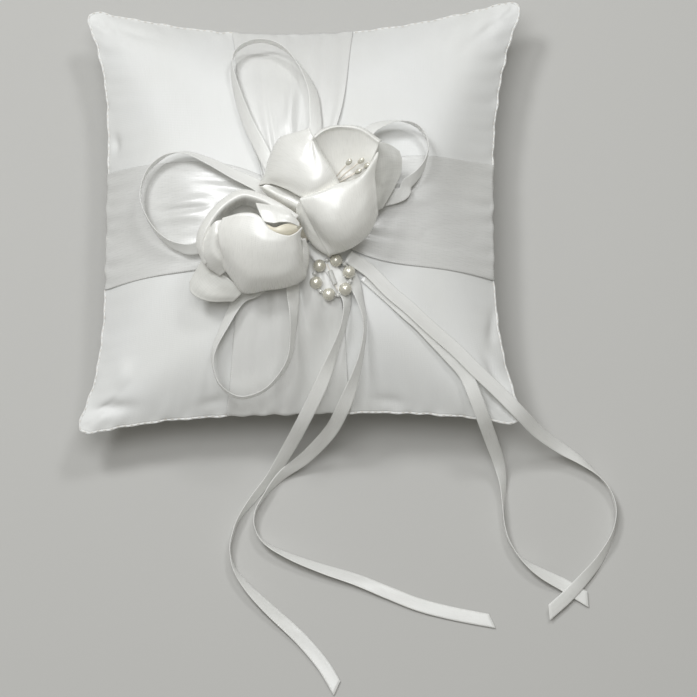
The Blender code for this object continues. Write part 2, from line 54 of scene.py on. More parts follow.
scene.view_settings.view_transform = "Standard"

camera = {
    "target": (0.022, -0.0655, 0.030),
    "elevation": 78,
    "distance": 1.5,
    "lens": 164.84,
}

floor = {
    "size": 3.0,
    "colour": (0.52, 0.515, 0.50),
    "tone": 0.03,
}

# place, aim, size across and down, power in watts
lamps = {
    "leftSoftbox": ((-0.46, 0.42, 1.12), (0.0, 0.0, 0.03), 0.26, 0.24, 5.0),
    "rightSoftbox": ((0.34, 0.58, 1.12), (0.0, 0.0, 0.03), 0.22, 0.22, 2.8),
    "overheadFill": ((-0.14, 0.05, 1.60), (0.0, 0.0, 0.0), 0.70, 0.70, 10.0),
}
lampColour = (0.975, 0.99, 1.0)
worldLight = ((1.0, 0.975, 0.87), 0.21)


def addCamera():
    lift = math.radians(camera["elevation"])
    back = Vector((0, -math.cos(lift), math.sin(lift)))
    lens = bpy.data.cameras.new("pillowCamera")
    lens.lens = camera["lens"]
    lens.sensor_width = 36
    lens.clip_start = 0.05
    lens.clip_end = 20
    item = bpy.data.objects.new("pillowCamera", lens)
    scene.collection.objects.link(item)
    item.location = Vector(camera["target"]) + back * camera["distance"]
    item.rotation_euler = (-back).to_track_quat("-Z", "Y").to_euler()
    scene.camera = item


def addLamps():
    for name, (place, aim, across, down, power) in lamps.items():
        light = bpy.data.lights.new(name, "AREA")
        light.shape = "RECTANGLE"
        light.size = across
        light.size_y = down
        light.energy = power
        light.color = lampColour
        item = bpy.data.objects.new(name, light)
        scene.collection.objects.link(item)
        item.location = place
        item.rotation_euler = (Vector(aim) - Vector(place)).to_track_quat("-Z", "Y").to_euler()
    world = bpy.data.worlds.new("softRoom")
    world.use_nodes = True
    scene.world = world
    colour, strength = worldLight
    background = world.node_tree.nodes["Background"]
    background.inputs["Color"].default_value = (*colour, 1)
    background.inputs["Strength"].default_value = strength


def addNode(tree, kind, settings=None, **inputs):
    # makes a node; an input is a value or another node's output socket
    node = tree.nodes.new(kind)
    for key, value in (settings or {}).items():
        setattr(node, key, value)
    for key, value in inputs.items():
        socket = node.inputs[int(key[1:])] if key[0] == "_" else node.inputs[key]
        if isinstance(value, bpy.types.NodeSocket):
            tree.links.new(value, socket)
        else:
            socket.default_value = value
    return node


def math2(tree, operation, first, second=0.0, clamp=False):
    settings = {"operation": operation, "use_clamp": clamp}
    return addNode(tree, "ShaderNodeMath", settings, _0=first, _1=second).outputs[0]


def mixColour(tree, share, first, second):
    settings = {"data_type": "RGBA"}
    return addNode(tree, "ShaderNodeMix", settings, _0=share, _6=first, _7=second).outputs[2]


def mapValue(tree, value, low, high, newLow, newHigh):
    return addNode(tree, "ShaderNodeMapRange", None, _0=value, _1=low, _2=high, _3=newLow,
                   _4=newHigh).outputs[0]


def startGroup(name, inputs, outputs):
    tree = bpy.data.node_groups.new(name, "ShaderNodeTree")
    for label, kind, value in inputs:
        socket = tree.interface.new_socket(name=label, in_out="INPUT", socket_type=kind)
        socket.default_value = value
    for label, kind in outputs:
        tree.interface.new_socket(name=label, in_out="OUTPUT", socket_type=kind)
    return tree, tree.nodes.new("NodeGroupInput").outputs, tree.nodes.new("NodeGroupOutput").inputs


numberKind = "NodeSocketFloat"
colourKind = "NodeSocketColor"
vectorKind = "NodeSocketVector"


def buildSatinWeave():
    # long shiny warp floats: fine streaks along the cloth, crossed by the short weft ties
    tree, given, made = startGroup(
        "satinWeave",
        [("Cloth Place", vectorKind, (0, 0, 0)), ("Yarns Per Metre", numberKind, 2600),
         ("Streak", numberKind, 1)],
        [("Height", numberKind), ("Streaks", numberKind)],
    )
    place = addNode(tree, "ShaderNodeSeparateXYZ", None, Vector=given["Cloth Place"])
    across = math2(tree, "MULTIPLY", place.outputs["X"], given["Yarns Per Metre"])
    along = math2(tree, "MULTIPLY", place.outputs["Y"],
                  math2(tree, "MULTIPLY", given["Yarns Per Metre"], 0.06))
    stretched = addNode(tree, "ShaderNodeCombineXYZ", None, X=across, Y=along).outputs[0]
    yarn = addNode(tree, "ShaderNodeTexNoise", None, Vector=stretched, Scale=1.0, Detail=1.0).outputs["Fac"]
    broad = addNode(tree, "ShaderNodeVectorMath", {"operation": "MULTIPLY"}, _0=stretched,
                    _1=(0.09, 0.22, 1)).outputs[0]
    slub = addNode(tree, "ShaderNodeTexNoise", None, Vector=broad, Scale=1.0, Detail=3.0).outputs["Fac"]
    ties = math2(tree, "SINE",
            math2(tree, "MULTIPLY", place.outputs["Y"],
                  math2(tree, "MULTIPLY", given["Yarns Per Metre"], 3.1)))
    height = math2(tree, "ADD", yarn, math2(tree, "MULTIPLY", ties, 0.12))
    tree.links.new(height, made["Height"])
    mixed = math2(tree, "ADD", math2(tree, "MULTIPLY", yarn, 0.35), math2(tree, "MULTIPLY", slub, 0.65))
    centred = math2(tree, "SUBTRACT", mixed, 0.5)
    tree.links.new(math2(tree, "MULTIPLY", centred, given["Streak"]), made["Streaks"])
    return tree


def buildHandling():
    # slow changes of tone from handling, storage and dye, with a little more grey in places
    tree, given, made = startGroup(
        "handlingTone",
        [("Patch Size", numberKind, 0.03), ("Amount", numberKind, 0.05),
         ("Colour", colourKind, (1, 1, 1, 1)),
         ("Worn Colour", colourKind, (0.8, 0.79, 0.74, 1))],
        [("Colour", colourKind), ("Patches", numberKind)],
    )
    place = addNode(tree, "ShaderNodeTexCoord").outputs["Object"]
    scale = math2(tree, "DIVIDE", 1.0, given["Patch Size"])
    patches = addNode(tree, "ShaderNodeTexNoise", None, Vector=place, Scale=scale,
                      Detail=2.0).outputs["Fac"]
    share = math2(tree, "MULTIPLY", mapValue(tree, patches, 0.35, 0.7, 0.0, 1.0), given["Amount"], True)
    tree.links.new(mixColour(tree, share, given["Colour"], given["Worn Colour"]), made["Colour"])
    tree.links.new(patches, made["Patches"])
    return tree


def buildSelvage():
    # woven edge: a firmer band with tiny ticks where the weft turns back
    tree, given, made = startGroup(
        "selvageEdge",
        [("Edge Distance", numberKind, 0.01), ("Along", numberKind, 0), ("Band", numberKind, 0.0008),
         ("Tick Pitch", numberKind, 0.0011)],
        [("Band", numberKind), ("Height", numberKind)],
    )
    band = math2(tree, "SUBTRACT", 1.0, math2(tree, "DIVIDE", given["Edge Distance"], given["Band"]), True)
    turns = math2(tree, "DIVIDE", math2(tree, "MULTIPLY", given["Along"], 2 * math.pi), given["Tick Pitch"])
    ticks = mapValue(tree, math2(tree, "SINE", turns), -0.2, 0.9, 0.0, 1.0)
    tree.links.new(band, made["Band"])
    tree.links.new(math2(tree, "MULTIPLY", band, ticks), made["Height"])
    return tree


satinWeave = buildSatinWeave()
handlingTone = buildHandling()
selvageEdge = buildSelvage()


def startMaterial(name):
    material = bpy.data.materials.new(name)
    material.use_nodes = True
    return material, material.node_tree, material.node_tree.nodes["Principled BSDF"]


def setShader(shader, **values):
    for key, value in values.items():
        shader.inputs[key.replace("_", " ")].default_value = value


def addGroup(tree, group, **inputs):
    node = tree.nodes.new("ShaderNodeGroup")
    node.node_tree = group
    for key, value in inputs.items():
        socket = node.inputs[key.replace("_", " ")]
        if isinstance(value, bpy.types.NodeSocket):
            tree.links.new(value, socket)
        else:
            socket.default_value = value
    return node.outputs


def clothAttribute(tree):
    # where on the flat cloth each point is: across and along in metres, and distance to its edge
    return addNode(tree, "ShaderNodeAttribute", {"attribute_name": "clothPlace"}).outputs["Vector"]


def addBump(tree, shader, height, depth, strength=1.0, below=None):
    bump = addNode(tree, "ShaderNodeBump", None, Height=height, Distance=depth, Strength=strength)
    if below is not None:
        tree.links.new(below, bump.inputs["Normal"])
    tree.links.new(bump.outputs[0], shader.inputs["Normal"])
    return bump.outputs[0]


# colour, worn colour, roughness and its change, streak strength, yarns per metre, weave depth,
# gloss, and how much light the cloth lets through
satins = {
    "coverSatin": ((0.79, 0.795, 0.79), (0.73, 0.73, 0.70), 0.50, 0.06, 0.04, 2200, 0.00006, 0.5, 0.05),
    # both sashes are the same ribbon: the across sash's colour is set darker as painted shade, where its
    # weave runs away from the light, and the down sash's lighter as painted light
    "sashAcrossShadedSatin": ((0.71, 0.71, 0.70), (0.64, 0.64, 0.61), 0.30, 0.05, 0.07, 2600, 0.00005, 1.0, 0.05),
    "sashDownLitSatin": ((0.76, 0.76, 0.75), (0.70, 0.70, 0.67), 0.36, 0.05, 0.06, 2600, 0.00005, 0.8, 0.05),
    "ribbonSatin": ((0.86, 0.86, 0.84), (0.80, 0.795, 0.76), 0.32, 0.05, 0.05, 3200, 0.00005, 0.8, 0.25),
    "petalSatin": ((0.93, 0.925, 0.89), (0.90, 0.885, 0.82), 0.28, 0.012, 0.008, 3400, 0.000004, 0.9, 0.25),
    "centreSatin": ((0.92, 0.86, 0.70), (0.88, 0.74, 0.50), 0.34, 0.06, 0.04, 2800, 0.00005, 0.7, 0.25),
}


def makeSatin(name, tick=0.0):
    colour, worn, roughness, change, streak, yarns, depth, gloss, glow = satins[name]
    material, tree, shader = startMaterial(name)
    place = clothAttribute(tree)
    weave = addGroup(tree, satinWeave, Cloth_Place=place, Yarns_Per_Metre=yarns, Streak=streak)
    tone = addGroup(tree, handlingTone, Colour=(*colour, 1), Worn_Colour=(*worn, 1), Amount=0.35,
                    Patch_Size=0.035)
    lighter = addNode(tree, "ShaderNodeHueSaturation", None, Color=tone["Colour"],
                      Value=math2(tree, "ADD", weave["Streaks"], 1.0))
    tree.links.new(lighter.outputs[0], shader.inputs["Base Color"])
    rough = mapValue(tree, weave["Height"], 0.3, 0.7, roughness - change, roughness + change)
    tree.links.new(rough, shader.inputs["Roughness"])
    normal = addBump(tree, shader, weave["Height"], depth, 0.8)
    if tick:
        parts = addNode(tree, "ShaderNodeSeparateXYZ", None, Vector=place).outputs
        edge = addGroup(tree, selvageEdge, Edge_Distance=parts["Z"], Along=parts["Y"], Band=0.0009)
        addBump(tree, shader, edge["Height"], tick, 1.0, normal)
    setShader(shader, Sheen_Weight=0.08, Sheen_Roughness=0.4, IOR=1.5, Specular_IOR_Level=gloss)
    setShader(shader, Subsurface_Weight=glow, Subsurface_Scale=0.004, Subsurface_Radius=(1.0, 1.0, 1.0))
    return material


def unit(vectors):
    return vectors / np.maximum(np.linalg.norm(vectors, axis=-1, keepdims=True), 1e-12)


def gridNormals(grid):
    return unit(np.cross(np.gradient(grid, axis=0), np.gradient(grid, axis=1)))


def splineRow(points, at):
    # smooth curve through rows of points, read at fractional row numbers
    points = np.asarray(points, float)
    ends = (2 * points[:1] - points[1:2], 2 * points[-1:] - points[-2:-1])
    padded = np.concatenate((ends[0], points, ends[1]))
    at = np.clip(at, 0, len(points) - 1)
    start = np.minimum(at.astype(int), len(points) - 2)
    t = (at - start).reshape((-1,) + (1,) * (points.ndim - 1))
    p0, p1, p2, p3 = (padded[start + k] for k in range(4))
    return 0.5 * (2 * p1 + (p2 - p0) * t + (2 * p0 - 5 * p1 + 4 * p2 - p3) * t ** 2
                  + (3 * p1 - p0 - 3 * p2 + p3) * t ** 3)


def refine(grid, rows, columns):
    grid = splineRow(grid, np.linspace(0, len(grid) - 1, rows))
    turned = np.swapaxes(grid, 0, 1)
    return np.swapaxes(splineRow(turned, np.linspace(0, len(turned) - 1, columns)), 0, 1)


def readGrid(grid, s, t):
    # smooth reading of a fine grid at places s and t from 0 to 1
    rows, columns = grid.shape[:2]
    a, b = np.clip(s, 0, 1) * (rows - 1), np.clip(t, 0, 1) * (columns - 1)
    i, j = np.minimum(a.astype(int), rows - 2), np.minimum(b.astype(int), columns - 2)
    x, y = (a - i)[..., None], (b - j)[..., None]

    def weights(w):
        return (-0.5 * w + w ** 2 - 0.5 * w ** 3, 1 - 2.5 * w ** 2 + 1.5 * w ** 3,
                0.5 * w + 2 * w ** 2 - 1.5 * w ** 3, -0.5 * w ** 2 + 0.5 * w ** 3)

    total = 0
    for k, weightRow in enumerate(weights(x)):
        row = np.clip(i + k - 1, 0, rows - 1)
        for m, weightColumn in enumerate(weights(y)):
            total = total + grid[row, np.clip(j + m - 1, 0, columns - 1)] * weightRow * weightColumn
    return total


def smoothStep(value, low, high):
    share = np.clip((value - low) / (high - low), 0, 1)
    return share * share * (3 - 2 * share)


def faceOutward(mesh):
    # turns a closed mesh's faces outward where they were made the other way round
    mesh.calc_loop_triangles()
    corners = np.array([v.co for v in mesh.vertices], float)
    middle = corners.mean(0)
    a, b, c = (corners[[t.vertices[k] for t in mesh.loop_triangles]] - middle for k in range(3))
    if np.einsum("ij,ij->", a, np.cross(b, c)) < 0:
        mesh.flip_normals()


def finishMesh(name, points, faces, material, body, places=None, smooth=True):
    faces = [tuple(face) for face in faces]
    mesh = bpy.data.meshes.new(name)
    mesh.from_pydata([tuple(p) for p in points], [], faces)
    if smooth:
        mesh.shade_smooth()
    if places is not None:
        mesh.attributes.new("clothPlace", "FLOAT_VECTOR", "POINT").data.foreach_set(
            "vector", np.asarray(places, np.float32).ravel())
    mesh.materials.append(material)
    if body:
        faceOutward(mesh)
    item = bpy.data.objects.new(name, mesh)
    scene.collection.objects.link(item)
    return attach(item, body) if body else item


def closedShell(grid, thickness, places, hem=0.0, hemWidth=0.002):
    # a grid of cloth made into one closed sheet with a rounded, slightly thicker hem
    rows, columns = grid.shape[:2]
    normal = gridNormals(grid)
    half = np.full((rows, columns, 1), thickness / 2)
    if hem:
        half[..., 0] += hem / 2 * np.exp(-((places[..., 2] / hemWidth) ** 2))
    outer = (grid + normal * half).reshape(-1, 3)
    inner = (grid - normal * half).reshape(-1, 3)
    index = np.arange(rows * columns).reshape(rows, columns)
    rim = np.concatenate((index[0, :-1], index[:-1, -1], index[-1, :0:-1], index[:0:-1, 0]))
    flat = grid.reshape(-1, 3)
    within = np.clip(rim // columns, 1, rows - 2) * columns + np.clip(rim % columns, 1, columns - 2)
    outward = unit(flat[rim] - flat[within])
    middle = flat[rim] + outward * half.reshape(-1, 1)[rim]
    count = rows * columns
    a, b, c, d = (q.ravel() for q in (index[:-1, :-1], index[1:, :-1], index[1:, 1:], index[:-1, 1:]))
    faces = np.stack((a, b, c, d), 1)
    ring = np.arange(len(rim)) + 2 * count
    after, ringAfter = np.roll(rim, -1), np.roll(ring, -1)
    faces = np.concatenate((
        faces, faces[:, ::-1] + count,
        np.stack((rim, after, ringAfter, ring), 1),
        np.stack((ring, ringAfter, after + count, rim + count), 1),
    ))
    flatPlaces = places.reshape(-1, 3)
    return np.concatenate((outer, inner, middle)), faces, np.concatenate((flatPlaces, flatPlaces,
                                                                          flatPlaces[rim]))


def addSheet(name, grid, thickness, places, material, body, hem=0.0, hemWidth=0.002):
    points, faces, places = closedShell(grid, thickness, places, hem, hemWidth)
    return finishMesh(name, points, faces, material, body, places)


def addTube(name, path, radius, sides, material, body, closed=False, squash=1.0):
    # a round or flattened strand along a path
    path = np.asarray(path, float)
    if closed:
        along = unit(np.roll(path, -1, 0) - np.roll(path, 1, 0))
    else:
        along = unit(np.gradient(path, axis=0))
    side = unit(np.cross(along, (0, 0, 1.0)) + 1e-9)
    upward = np.cross(side, along)
    turns = np.arange(sides) * 2 * math.pi / sides
    radius = np.broadcast_to(np.asarray(radius, float), (len(path),))[:, None, None]
    rings = (path[:, None] + side[:, None] * np.cos(turns)[None, :, None] * radius
             + upward[:, None] * np.sin(turns)[None, :, None] * radius * squash)
    index = np.arange(len(path) * sides).reshape(len(path), sides)
    ringAfter = np.roll(index, -1, 0) if closed else index[1:]
    index = index if closed else index[:-1]
    faces = np.stack((index, np.roll(index, -1, 1), np.roll(ringAfter, -1, 1), ringAfter), -1).reshape(-1,
            4).tolist()
    if not closed:
        last = (len(path) - 1) * sides
        faces += [tuple(range(sides))[::-1], tuple(last + k for k in range(sides))]
    length = np.concatenate(([0], np.cumsum(np.linalg.norm(np.diff(path, axis=0), axis=1))))
    places = np.zeros((len(path), sides, 3))
    places[..., 0] = turns / (2 * math.pi) * 0.002
    places[..., 1] = length[:, None]
    places[..., 2] = 0.01
    return finishMesh(name, rings.reshape(-1, 3), faces, material, body, places.reshape(-1, 3))


def addTurned(name, centre, axis, profile, sides, material, body):
    # a bead turned on its own axis; profile is (radius, place along the axis), closed on itself
    axis = Vector(axis).normalized()
    spin = axis.to_track_quat("Z", "Y").to_matrix()
    points = []
    for step in range(sides):
        turn = 2 * math.pi * step / sides
        points += [tuple(Vector(centre) + spin @ Vector((r * math.cos(turn), r * math.sin(turn),
                                                         z))) for r, z in profile]
    count = len(profile)
    faces = []
    for step in range(sides):
        here, after = step * count, (step + 1) % sides * count
        faces += [(here + k, after + k, after + (k + 1) % count,
                   here + (k + 1) % count) for k in range(count)]
    return finishMesh(name, points, faces, material, body)


def nodePoints(node):
    return np.array([v.co for v in frame["nodes"][node].data.vertices], float)


def longAxis(points):
    return np.linalg.svd(points - points.mean(0), full_matrices=False)[2][0]


# Ribbons: the four bow loops and the four tails.

ribbon = {
    "width": 0.006,
    "thickness": 0.00028,
    "selvage": 0.00012,
    "cup": 0.00018,
    "step": 0.0016,
    "across": 9,
    "clearance": 0.0006,
    "slant": 0.0042,
}

# routes of the ribbons, as in the model: x, y, z and the lean of the width, 0 flat, 90 on edge
loopRoutes = {
    "loop_upper": (
        (-0.0091, 0.0031, 0.0658, 5),
        (-0.0182, 0.0213, 0.0653, 20),
        (-0.0254, 0.0366, 0.0630, 40),
        (-0.0312, 0.0548, 0.0592, 65),
        (-0.0329, 0.0672, 0.0552, 85),
        (-0.0293, 0.0751, 0.0525, 90),
        (-0.0199, 0.0788, 0.0515, 90),
        (-0.0094, 0.0749, 0.0532, 90),
        (-0.0008, 0.0645, 0.0575, 75),
        (0.0049, 0.0521, 0.0612, 50),
        (0.0064, 0.0403, 0.0632, 30),
        (0.0059, 0.0286, 0.0651, 15),
        (-0.0014, 0.0042, 0.0662, 5),
    ),
    "loop_left": (
        (-0.0155, -0.0014, 0.0662, 170),
        (-0.0194, 0.0035, 0.0668, 165),
        (-0.0316, 0.0100, 0.0656, 150),
        (-0.0424, 0.0162, 0.0640, 135),
        (-0.0533, 0.0212, 0.0612, 115),
        (-0.0613, 0.0212, 0.0592, 100),
        (-0.0679, 0.0179, 0.0568, 90),
        (-0.0727, 0.0126, 0.0550, 90),
        (-0.0750, 0.0057, 0.0540, 90),
        (-0.0749, -0.0011, 0.0540, 90),
        (-0.0714, -0.0097, 0.0558, 90),
        (-0.0656, -0.0180, 0.0580, 95),
        (-0.0575, -0.0237, 0.0602, 112),
        (-0.0467, -0.0245, 0.0624, 140),
        (-0.0188, -0.0136, 0.0656, 175),
    ),
    "loop_lower": (
        (-0.0115, -0.0240, 0.0648, 175),
        (-0.0179, -0.0427, 0.0632, 165),
        (-0.0281, -0.0491, 0.0612, 150),
        (-0.0355, -0.0611, 0.0576, 130),
        (-0.0402, -0.0713, 0.0545, 110),
        (-0.0407, -0.0783, 0.0520, 95),
        (-0.0380, -0.0860, 0.0482, 90),
        (-0.0317, -0.0909, 0.0450, 90),
        (-0.0252, -0.0918, 0.0448, 90),
        (-0.0163, -0.0887, 0.0480, 90),
        (-0.0088, -0.0816, 0.0524, 97),
        (-0.0050, -0.0742, 0.0554, 103),
        (-0.0036, -0.0644, 0.0575, 112),
        (-0.0032, -0.0551, 0.0602, 130),
        (-0.0036, -0.0457, 0.0624, 158),
        (-0.0040, -0.0265, 0.0650, 175),
    ),
    "loop_right": (
        (0.0066, -0.0004, 0.0662, 5),
        (0.0150, 0.0090, 0.0652, 5),
        (0.0306, 0.0293, 0.0650, 30),
        (0.0372, 0.0341, 0.0640, 50),
        (0.0460, 0.0364, 0.0622, 75),
        (0.0545, 0.0340, 0.0603, 90),
        (0.0591, 0.0264, 0.0598, 90),
        (0.0581, 0.0180, 0.0602, 85),
        (0.0544, 0.0110, 0.0612, 65),
        (0.0492, 0.0059, 0.0622, 40),
        (0.0441, -0.0005, 0.0635, 15),
        (0.0108, -0.0084, 0.0658, 5),
    ),
}
tailRoutes = {
    "tail_long": (
        (0.0028, -0.0244, 0.0645, 0),
        (0.0135, -0.0350, 0.0624, 0),
        (0.0183, -0.0420, 0.0612, 0),
        (0.0213, -0.0499, 0.0596, 50),
        (0.0199, -0.0599, 0.0576, 70),
        (0.0153, -0.0721, 0.0540, 60),
        (0.0088, -0.0875, 0.0478, 12),
        (0.0016, -0.0998, 0.0350, 5),
        (-0.0057, -0.1098, 0.0170, 22),
        (-0.0143, -0.1216, 0.0050, 52),
        (-0.0232, -0.1327, 0.0033, 65),
        (-0.0303, -0.1428, 0.0033, 85),
        (-0.0335, -0.1523, 0.0033, 90),
        (-0.0339, -0.1585, 0.0033, 90),
        (-0.0315, -0.1666, 0.0032, 75),
        (-0.0249, -0.1755, 0.0026, 50),
        (-0.0150, -0.1854, 0.0018, 28),
        (-0.0008, -0.1985, 0.0009, 10),
        (0.0100, -0.2112, 0.0005, 3),
        (0.0166, -0.2220, 0.0004, 0),
    ),
    "tail_short": (
        (0.0195, -0.0330, 0.0632, 0),
        (0.0238, -0.0400, 0.0621, 15),
        (0.0273, -0.0491, 0.0603, 55),
        (0.0296, -0.0600, 0.0586, 76),
        (0.0282, -0.0723, 0.0542, 74),
        (0.0245, -0.0846, 0.0500, 50),
        (0.0194, -0.0962, 0.0410, 12),
        (0.0133, -0.1042, 0.0240, 12),
        (0.0019, -0.1136, 0.0090, 30),
        (-0.0100, -0.1217, 0.0036, 56),
        (-0.0180, -0.1313, 0.0034, 85),
        (-0.0223, -0.1394, 0.0033, 90),
        (-0.0222, -0.1471, 0.0033, 90),
        (-0.0170, -0.1542, 0.0032, 75),
        (-0.0051, -0.1604, 0.0028, 55),
        (0.0100, -0.1660, 0.0022, 38),
        (0.0260, -0.1711, 0.0015, 22),
        (0.0411, -0.1772, 0.0009, 10),
        (0.0557, -0.1829, 0.0006, 4),
        (0.0722, -0.1871, 0.0004, 0),
        (0.0896, -0.1904, 0.0004, 0),
    ),
    "tail_outer": (
        (0.0218, -0.0298, 0.0662, 0),
        (0.0315, -0.0358, 0.0632, 0),
        (0.0412, -0.0449, 0.0595, 0),
        (0.0496, -0.0515, 0.0565, 0),
        (0.0603, -0.0607, 0.0524, 0),
        (0.0720, -0.0701, 0.0476, 0),
        (0.0809, -0.0783, 0.0438, 0),
        (0.0926, -0.0885, 0.0385, 0),
        (0.1016, -0.0965, 0.0330, 0),
        (0.1112, -0.1034, 0.0200, 5),
        (0.1222, -0.1090, 0.0090, 20),
        (0.1329, -0.1150, 0.0045, 50),
        (0.1413, -0.1222, 0.0034, 80),
        (0.1464, -0.1298, 0.0033, 90),
        (0.1486, -0.1390, 0.0033, 90),
        (0.1466, -0.1499, 0.0033, 80),
        (0.1407, -0.1613, 0.0034, 55),
        (0.1326, -0.1712, 0.0032, 35),
        (0.1245, -0.1796, 0.0029, 20),
        (0.1164, -0.1867, 0.0027, 15),
    ),
    "tail_inner": (
        (0.0296, -0.0376, 0.0613, 0),
        (0.0400, -0.0462, 0.0579, 0),
        (0.0491, -0.0540, 0.0549, 0),
        (0.0552, -0.0589, 0.0526, 0),
        (0.0612, -0.0648, 0.0500, 0),
        (0.0687, -0.0722, 0.0466, 0),
        (0.0762, -0.0803, 0.0430, 0),
        (0.0813, -0.0911, 0.0395, 0),
        (0.0853, -0.1001, 0.0320, 0),
        (0.0895, -0.1081, 0.0190, 5),
        (0.0933, -0.1162, 0.0085, 25),
        (0.0952, -0.1252, 0.0042, 55),
        (0.0952, -0.1351, 0.0034, 80),
        (0.0956, -0.1447, 0.0033, 90),
        (0.0978, -0.1528, 0.0033, 90),
        (0.1034, -0.1609, 0.0033, 75),
        (0.1123, -0.1676, 0.0028, 40),
        (0.1236, -0.1735, 0.0014, 12),
        (0.1348, -0.1802, 0.0006, 3),
    ),
}


def smoothRoute(route, step):
    dense = splineRow(np.array(route), np.linspace(0, len(route) - 1, len(route) * 12))
    length = np.concatenate(([0], np.cumsum(np.linalg.norm(np.diff(dense[:, :3], axis=0), axis=1))))
    even = np.linspace(0, length[-1], max(8, round(length[-1] / step) + 1))
    return np.stack([np.interp(even, length, dense[:, k]) for k in range(4)], 1), even


def raiseOverCloth(stations, cloth, clearance):
    # lifts a route where the cloth stands higher than it, with a smooth run up and down
    push = np.zeros(len(stations))
    for index, (x, y, z, lean) in enumerate(stations):
        hit = cloth.ray_cast(Vector((x, y, 0.2)), Vector((0, 0, -1)))[0]
        if hit is None:
            continue
        reach = abs(math.sin(math.radians(lean))) * ribbon["width"] / 2
        push[index] = hit.z + clearance + reach - z
    window = np.hanning(9)
    window /= window.sum()
    push = np.maximum(push, 0)
    wide = np.array([push[max(0, k - 3):k + 4].max() for k in range(len(push))])
    stations = stations.copy()
    stations[:, 2] += np.convolve(np.pad(wide, 4, mode="edge"), window, "valid")
    return stations


def addRibbon(name, route, cloth, material, cutEnd):
    stations, along = smoothRoute(route, ribbon["step"])
    stations = raiseOverCloth(stations, cloth, ribbon["clearance"])
    path = stations[:, :3]
    direction = unit(np.gradient(path, axis=0))
    level = unit(np.cross(direction, (0, 0, 1.0)))
    upward = np.cross(level, direction)
    lean = np.radians(stations[:, 3])[:, None]
    wide = level * np.cos(lean) + upward * np.sin(lean)
    face = np.cross(wide, direction)
    side = np.linspace(-1, 1, ribbon["across"])
    grid = path[:, None] + wide[:, None] * side[None, :, None] * ribbon["width"] / 2
    grid = grid + face[:, None] * (ribbon["cup"] * (1 - side ** 2))[None, :, None]
    if cutEnd:
        # the end is cut on a slant
        fade = smoothStep(along, along[-1] - 0.012, along[-1])[:, None, None]
        grid = grid + direction[:, None] * side[None, :, None] * fade * ribbon["slant"] * cutEnd / 2
    places = np.zeros(grid.shape)
    places[..., 0] = side * ribbon["width"] / 2
    places[..., 1] = along[:, None]
    places[..., 2] = (1 - abs(side)) * ribbon["width"] / 2
    item = addSheet(name + "_ribbon", grid, ribbon["thickness"], places, material, "pillow",
                    ribbon["selvage"], 0.0005)
    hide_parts(name)
    return item


# which way each tail's end is cut: 1 or -1
tailCuts = {"tail_long": 1, "tail_short": 1, "tail_outer": -1, "tail_inner": 1}


def addRibbons(cloth, material):
    for name, route in loopRoutes.items():
        addRibbon(name, route, cloth, material, 0)
    for name, route in tailRoutes.items():
        addRibbon(name, route, cloth, material, tailCuts[name])


# Pillow: cover and filling. Corners run top left, top right, bottom left, bottom right;
# pulls are how far the middles of the left, right, top and bottom sides are drawn in.

pillow = {
    "corners": ((-0.1025, 0.0988), (0.1035, 0.1040), (-0.1034, -0.1040), (0.1015, -0.0994)),
    "pulls": (0.0130, 0.0145, 0.0150, 0.0080),
    "cells": 64,
    "cornerRadius": 0.009,
    "fullness": (4.0, 2.9, 1.9, 3.0),
    "evenness": 0.92,
    "flatHalf": 0.1075,
    "pressure": 5.0,
    "bending": 0.5,
    "frames": 24,
    "easing": 14,
    "eased": 0.6,
    "fineCells": 176,
    "thickness": 0.0004,
    "restSoftness": 0.0016,
    "fillInset": 0.0016,
}

puckers = {
    "scallop": 0.00035,
    "fold": 0.0006,
    "foldReach": 0.008,
    "seamFade": 0.002,
    "perSide": (17, 24, 9),
}

# soft dents in the front: place across and up from 0 to 1, half widths, turn and depth
dents = (
    (0.060, 0.050, 0.055, 0.014, -12, 0.0024),
    (0.075, 0.120, 0.020, 0.030, 20, -0.0010),
    (0.965, 0.110, 0.013, 0.035, 25, 0.0018),
    (0.020, 0.675, 0.012, 0.022, 10, 0.0018),
    (0.985, 0.22, 0.014, 0.045, -20, 0.0016),
    (0.93, 0.93, 0.040, 0.016, 30, 0.0010),
    (0.10, 0.955, 0.045, 0.014, -12, 0.0010),
    (0.955, 0.06, 0.018, 0.040, -35, 0.0014),
    (0.30, 0.03, 0.030, 0.012, 8, 0.0008),
    (0.70, 0.025, 0.035, 0.012, -6, 0.0008),
)


def roundedCorner(x, y, half):
    # moves a point of the square panel so that every ring round the middle has rounded corners
    reach = max(abs(x), abs(y))
    radius = pillow["cornerRadius"] * (reach / half) ** 12
    a, b = abs(x) - (reach - radius), abs(y) - (reach - radius)
    if radius <= 0 or a <= 0 or b <= 0:
        return x, y
    scale = max(a, b) / math.hypot(a, b)
    return math.copysign(reach - radius + a * scale, x), math.copysign(reach - radius + b * scale, y)


def flatBag(cells, half):
    # two square panels that share the points of their rim
    points, faces, index = [], [], {}
    for side in (1, -1):
        for i in range(cells + 1):
            for j in range(cells + 1):
                onRim = i in (0, cells) or j in (0, cells)
                key = (0 if onRim else side, i, j)
                if key not in index:
                    index[key] = len(points)
                    x, y = roundedCorner(half * (2 * i / cells - 1), half * (2 * j / cells - 1), half)
                    points.append((x, y, 0 if onRim else side * 0.0015))
    for side in (1, -1):
        for i in range(cells):
            for j in range(cells):
                face = []
                for a, b in ((i, j), (i + 1, j), (i + 1, j + 1), (i, j + 1)):
                    onRim = a in (0, cells) or b in (0, cells)
                    face.append(index[(0 if onRim else side, a, b)])
                faces.append(face[::side])
    return points, faces, index


